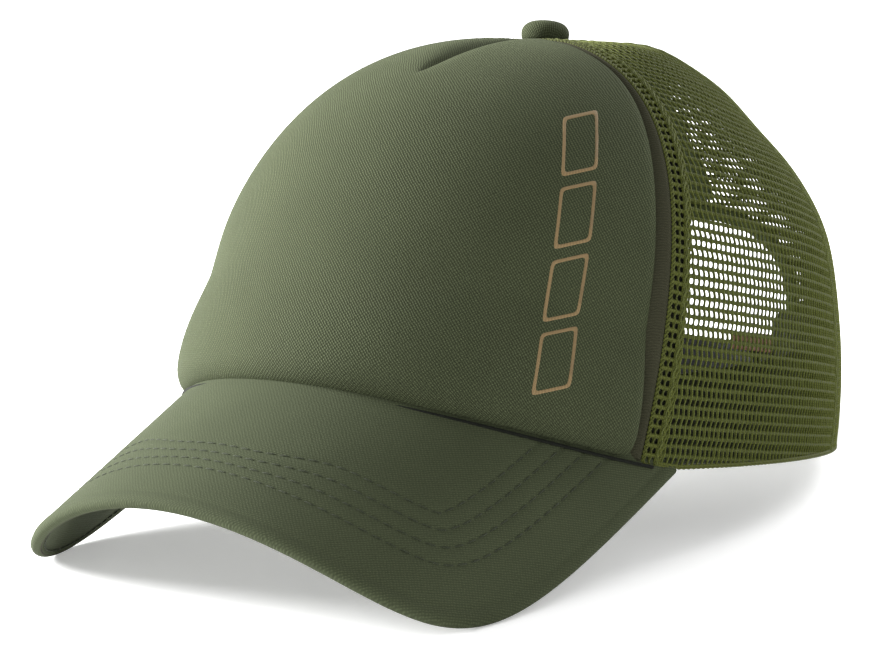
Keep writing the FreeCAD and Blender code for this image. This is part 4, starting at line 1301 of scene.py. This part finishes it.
def make_visor_under():
    """Cloth under the board."""
    share = VISOR_REACH * np.linspace(-1, 1, 181)
    inner = visor_inner(share)
    start = visor_edge_inset(share, np.full(len(share), UNDER_COVER_INSET))
    v = ease_ends(40, 0.05, 4)[None, :, None]
    flat = inner[:, None] * (1 - v) + start[:, None] * v
    inset = distance_to(flat, OUTLINE)
    depth = VISOR_THICKNESS + 0.15 * smooth(inset, UNDER_COVER_INSET, 6.0) - 0.2 * visor_dips(flat)
    outer = visor_bend(flat, depth)
    piece = Piece()
    piece.shell(outer, visor_bend(flat, UNDER_COVER_INSIDE + 0 * depth), flat)
    made = piece.make("visor_under_cloth", UNDER_CLOTH, ["visor_under_cover"], "visor_fabric")
    declare_sheet(outer)


def make_visor_stitches():
    """Rows of stitches through the board, and the close row that catches the under cloth."""
    top = Piece()
    under = Piece()
    share = np.linspace(-0.97, 0.97, 1500)
    side = np.abs(visor_outer(share)[:, 0]) / OUTLINE[:, 0].max()
    for row in range(VISOR_ROWS):
        inset = stitch_inset(row, side)
        flat = visor_edge_inset(share, inset)
        clear = (distance_to(flat, INNER_OUTLINE) > 1.0) & (distance_to(flat, OUTLINE) > inset - 0.5)
        clear &= flat[:, 1] > visor_inner(share, 0.0)[:, 1].min()
        middle = len(share) // 2
        stops = np.flatnonzero(~clear)
        first = stops[stops < middle].max(initial=0) + 1
        last = stops[stops > middle].min(initial=len(share))
        flat = flat[first:last]
        for piece, depth, face in ((top, 0.24, 1), (under, VISOR_THICKNESS - 0.1, -1)):
            sew(piece, *on_visor(flat, depth, face), *VISOR_STITCH)
    share = np.linspace(-0.99, 0.99, 1500)
    flat = visor_edge_inset(share, np.full(len(share), UNDER_ROW_INSET))
    sew(under, *on_visor(flat, VISOR_THICKNESS + 0.15, -1), *UNDER_STITCH)
    top.make("visor_top_stitches", VISOR_THREAD_SHADED, slot="visor_fabric")
    under.make("visor_under_stitches", VISOR_THREAD_SHADED, slot="visor_fabric")


# ---------------------------------------------------------------- button, straps and tab
# shares of the button's radius and height, from its foot to its top
BUTTON_PROFILE = [(0.93, -0.12), (0.985, 0.0), (1.0, 0.15), (1.0, 0.3), (0.985, 0.42), (0.945, 0.55),
                  (0.87, 0.68), (0.76, 0.80), (0.62, 0.89), (0.45, 0.95), (0.27, 0.985), (0.1, 1.0)]


def make_button():
    """Cloth-covered button: a low drum with a domed top."""
    profile = np.array(BUTTON_PROFILE)
    angle = np.linspace(0, 2 * math.pi, 72, endpoint=False)
    reach = BUTTON_RADIUS * profile[:, :1] + 0 * angle
    height = BUTTON_BASE_Z + BUTTON_HEIGHT * profile[:, 1:] + 0 * angle
    rings = np.stack([reach * np.cos(angle), CROWN_SHIFT + reach * np.sin(angle), height], -1)
    piece = Piece()
    piece.loft(rings)
    steps = np.hypot(np.diff(profile[:, 0]) * BUTTON_RADIUS, np.diff(profile[:, 1]) * BUTTON_HEIGHT)
    from_top = np.append(np.cumsum(steps[::-1])[::-1], 0.0)[:, None] + 0.1 * BUTTON_RADIUS
    piece.uvs[-1] = np.stack([from_top * np.cos(angle), from_top * np.sin(angle)], -1).reshape(-1, 2)
    piece.make("button_cloth", FRONT_CLOTH, ["button_cover"], "foam_front_fabric")


def strap_webs():
    """Thin living hinge between each strap and its sewn end."""
    for body, radius, side in (("hole_strap", HOLE_STRAP_RADIUS, 1), ("peg_strap", PEG_STRAP_RADIUS, -1)):
        start, end = (math.asin((HINGE_X + reach) / radius) for reach in WEB_REACH)
        angle = np.linspace(start, end, 14)[:, None]
        w, d = superellipse(16, (STRAP_Z[1] - STRAP_Z[0]) / 2 - 0.4, WEB_HALF_THICKNESS, 0.4)
        r = radius + d[None, :]
        x = side * r * np.sin(angle)
        y = STRAP_CENTRE_Y + r * np.cos(angle)
        z = np.broadcast_to((STRAP_Z[0] + STRAP_Z[1]) / 2 + w, x.shape)
        piece = Piece()
        piece.loft(np.stack([x, y, z], -1)[::-side])
        made = piece.make(body + "_web", STRAP_PLASTIC, slot="strap_plastic", body=None)
        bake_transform(made)


def make_tab():
    """Small blank tab behind the peg strap."""
    middle = PEG_STRAP_RADIUS - STRAP_THICKNESS / 2 - TAB_CLEARANCE
    start, end = math.asin(TAB[0] / middle), math.asin(TAB[1] / middle)
    angle = np.linspace(start, end, 24)[:, None]
    z = np.linspace(TAB[2], TAB[3], 12)[None, :]
    sway = 0.12 * np.sin((z - TAB[2]) / 2.0)
    grids = []
    for r in (middle + TAB_HALF_THICKNESS, middle - TAB_HALF_THICKNESS):
        x, y = (r + sway) * np.sin(angle), STRAP_CENTRE_Y + (r + sway) * np.cos(angle)
        grids.append(np.stack(np.broadcast_arrays(x, y, z), -1)[::-1])
    piece = Piece()
    piece.shell(*grids)
    piece.make("tab_rubber", TAB_RUBBER, ["size_tab"], "brown_rubber", "peg_strap")


def finish_cad_nodes():
    """Materials of the frame's own pieces that show as they are."""
    finishes = (
        (STRAP_PLASTIC, ("hole_strap", "peg_strap", "hole_strap_anchor", "peg_strap_anchor")),
        (BOARD_PLASTIC, ("visor_insert",)),
        (BUTTON_STEEL, ("button_shell", "button_tack", "button_washer")),
    )
    for material, names in finishes:
        for name in names:
            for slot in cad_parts[name].material_slots:
                slot.material = material


# ---------------------------------------------------------------- stage
FLOOR_HALF = 12.0
FLOOR_COLOUR = (0.92, 0.92, 0.92)
FLOOR_GLOW = 0.32
WORLD_STRENGTH = 0.74
LIGHT_AIM = (0.0, 0.0, 0.06)
# name, place across, toward and above the cap as the camera sees it, size and power
LIGHTS = (("key", (-1.6, -0.5, 0.70), 0.8, 122.0), ("rim", (1.2, -1.2, 1.0), 1.0, 22.0))


def make_stage():
    """Wide pale floor that also glows a little: painted light that brightens the cap from below and lifts
    its shadow on the floor.
    """
    half = FLOOR_HALF
    points = [(-half, -half, 0), (half, -half, 0), (half, half, 0), (-half, half, 0)]
    mesh = bpy.data.meshes.new("floor")
    mesh.from_pydata(points, [], [(0, 1, 2, 3)])
    shader = Shader("floor_paint_and_glow", 0.9, 0.0, 0.1)
    shader.colour(FLOOR_COLOUR)
    shader.surface.inputs["Emission Color"].default_value = (1, 1, 1, 1)
    shader.surface.inputs["Emission Strength"].default_value = FLOOR_GLOW
    mesh.materials.append(shader.material)
    floor = show("floor", mesh)


def area_light(name, place, size, power):
    light = bpy.data.lights.new(name, "AREA")
    light.shape = "DISK"
    light.size = size
    light.energy = power
    lamp = show(name, light)
    back = unit(np.array(place) - np.array(LIGHT_AIM))
    right = unit(np.cross([0, 0, 1.0], back))
    up = np.cross(back, right)
    lamp.matrix_world = Matrix([[right[i], up[i], back[i], place[i]] for i in range(3)] + [[0, 0, 0, 1]])


def light_place(across, toward, up):
    """A place in metres, across and toward the camera's side of the cap."""
    c, s = math.cos(VIEW_AZIMUTH), math.sin(VIEW_AZIMUTH)
    return across * c + toward * s, across * s - toward * c, up


def make_lights():
    world = bpy.data.worlds.new("studio")
    world.use_nodes = True
    background = world.node_tree.nodes["Background"]
    background.inputs["Color"].default_value = (1, 1, 1, 1)
    background.inputs["Strength"].default_value = WORLD_STRENGTH
    bpy.context.scene.world = world
    for name, place, size, power in LIGHTS:
        area_light(name, light_place(*place), size, power)
    bpy.context.scene.view_settings.view_transform = "Standard"


make_front()
make_visor_crease_shadow()
make_print()
make_strips()
make_nets("side", CrownChart(95.0, -20.0, 125.0, NET_TILT), in_side_panel)
make_nets("back", CrownChart(148.0, 105.0, 190.0), in_back_panel)
make_bands()
side_foot = float(rim_t(SIDE_BACK_SEAM)) + 0.004
make_seam_ridge("side_back_seam", meridian(SIDE_BACK_SEAM, side_foot, 0.965), True)
back_foot = float(t_at_height(180.0, 62.5))
make_seam_ridge("centre_back_seam", meridian(180.0, back_foot, 0.965), False)
make_hem()
make_rear_binding()
make_tapes()
make_sweatband()
make_label()
make_visor_top()
make_visor_lip()
make_visor_under()
make_visor_stitches()
make_button()
strap_webs()
make_tab()
finish_cad_nodes()
make_stage()
make_lights()
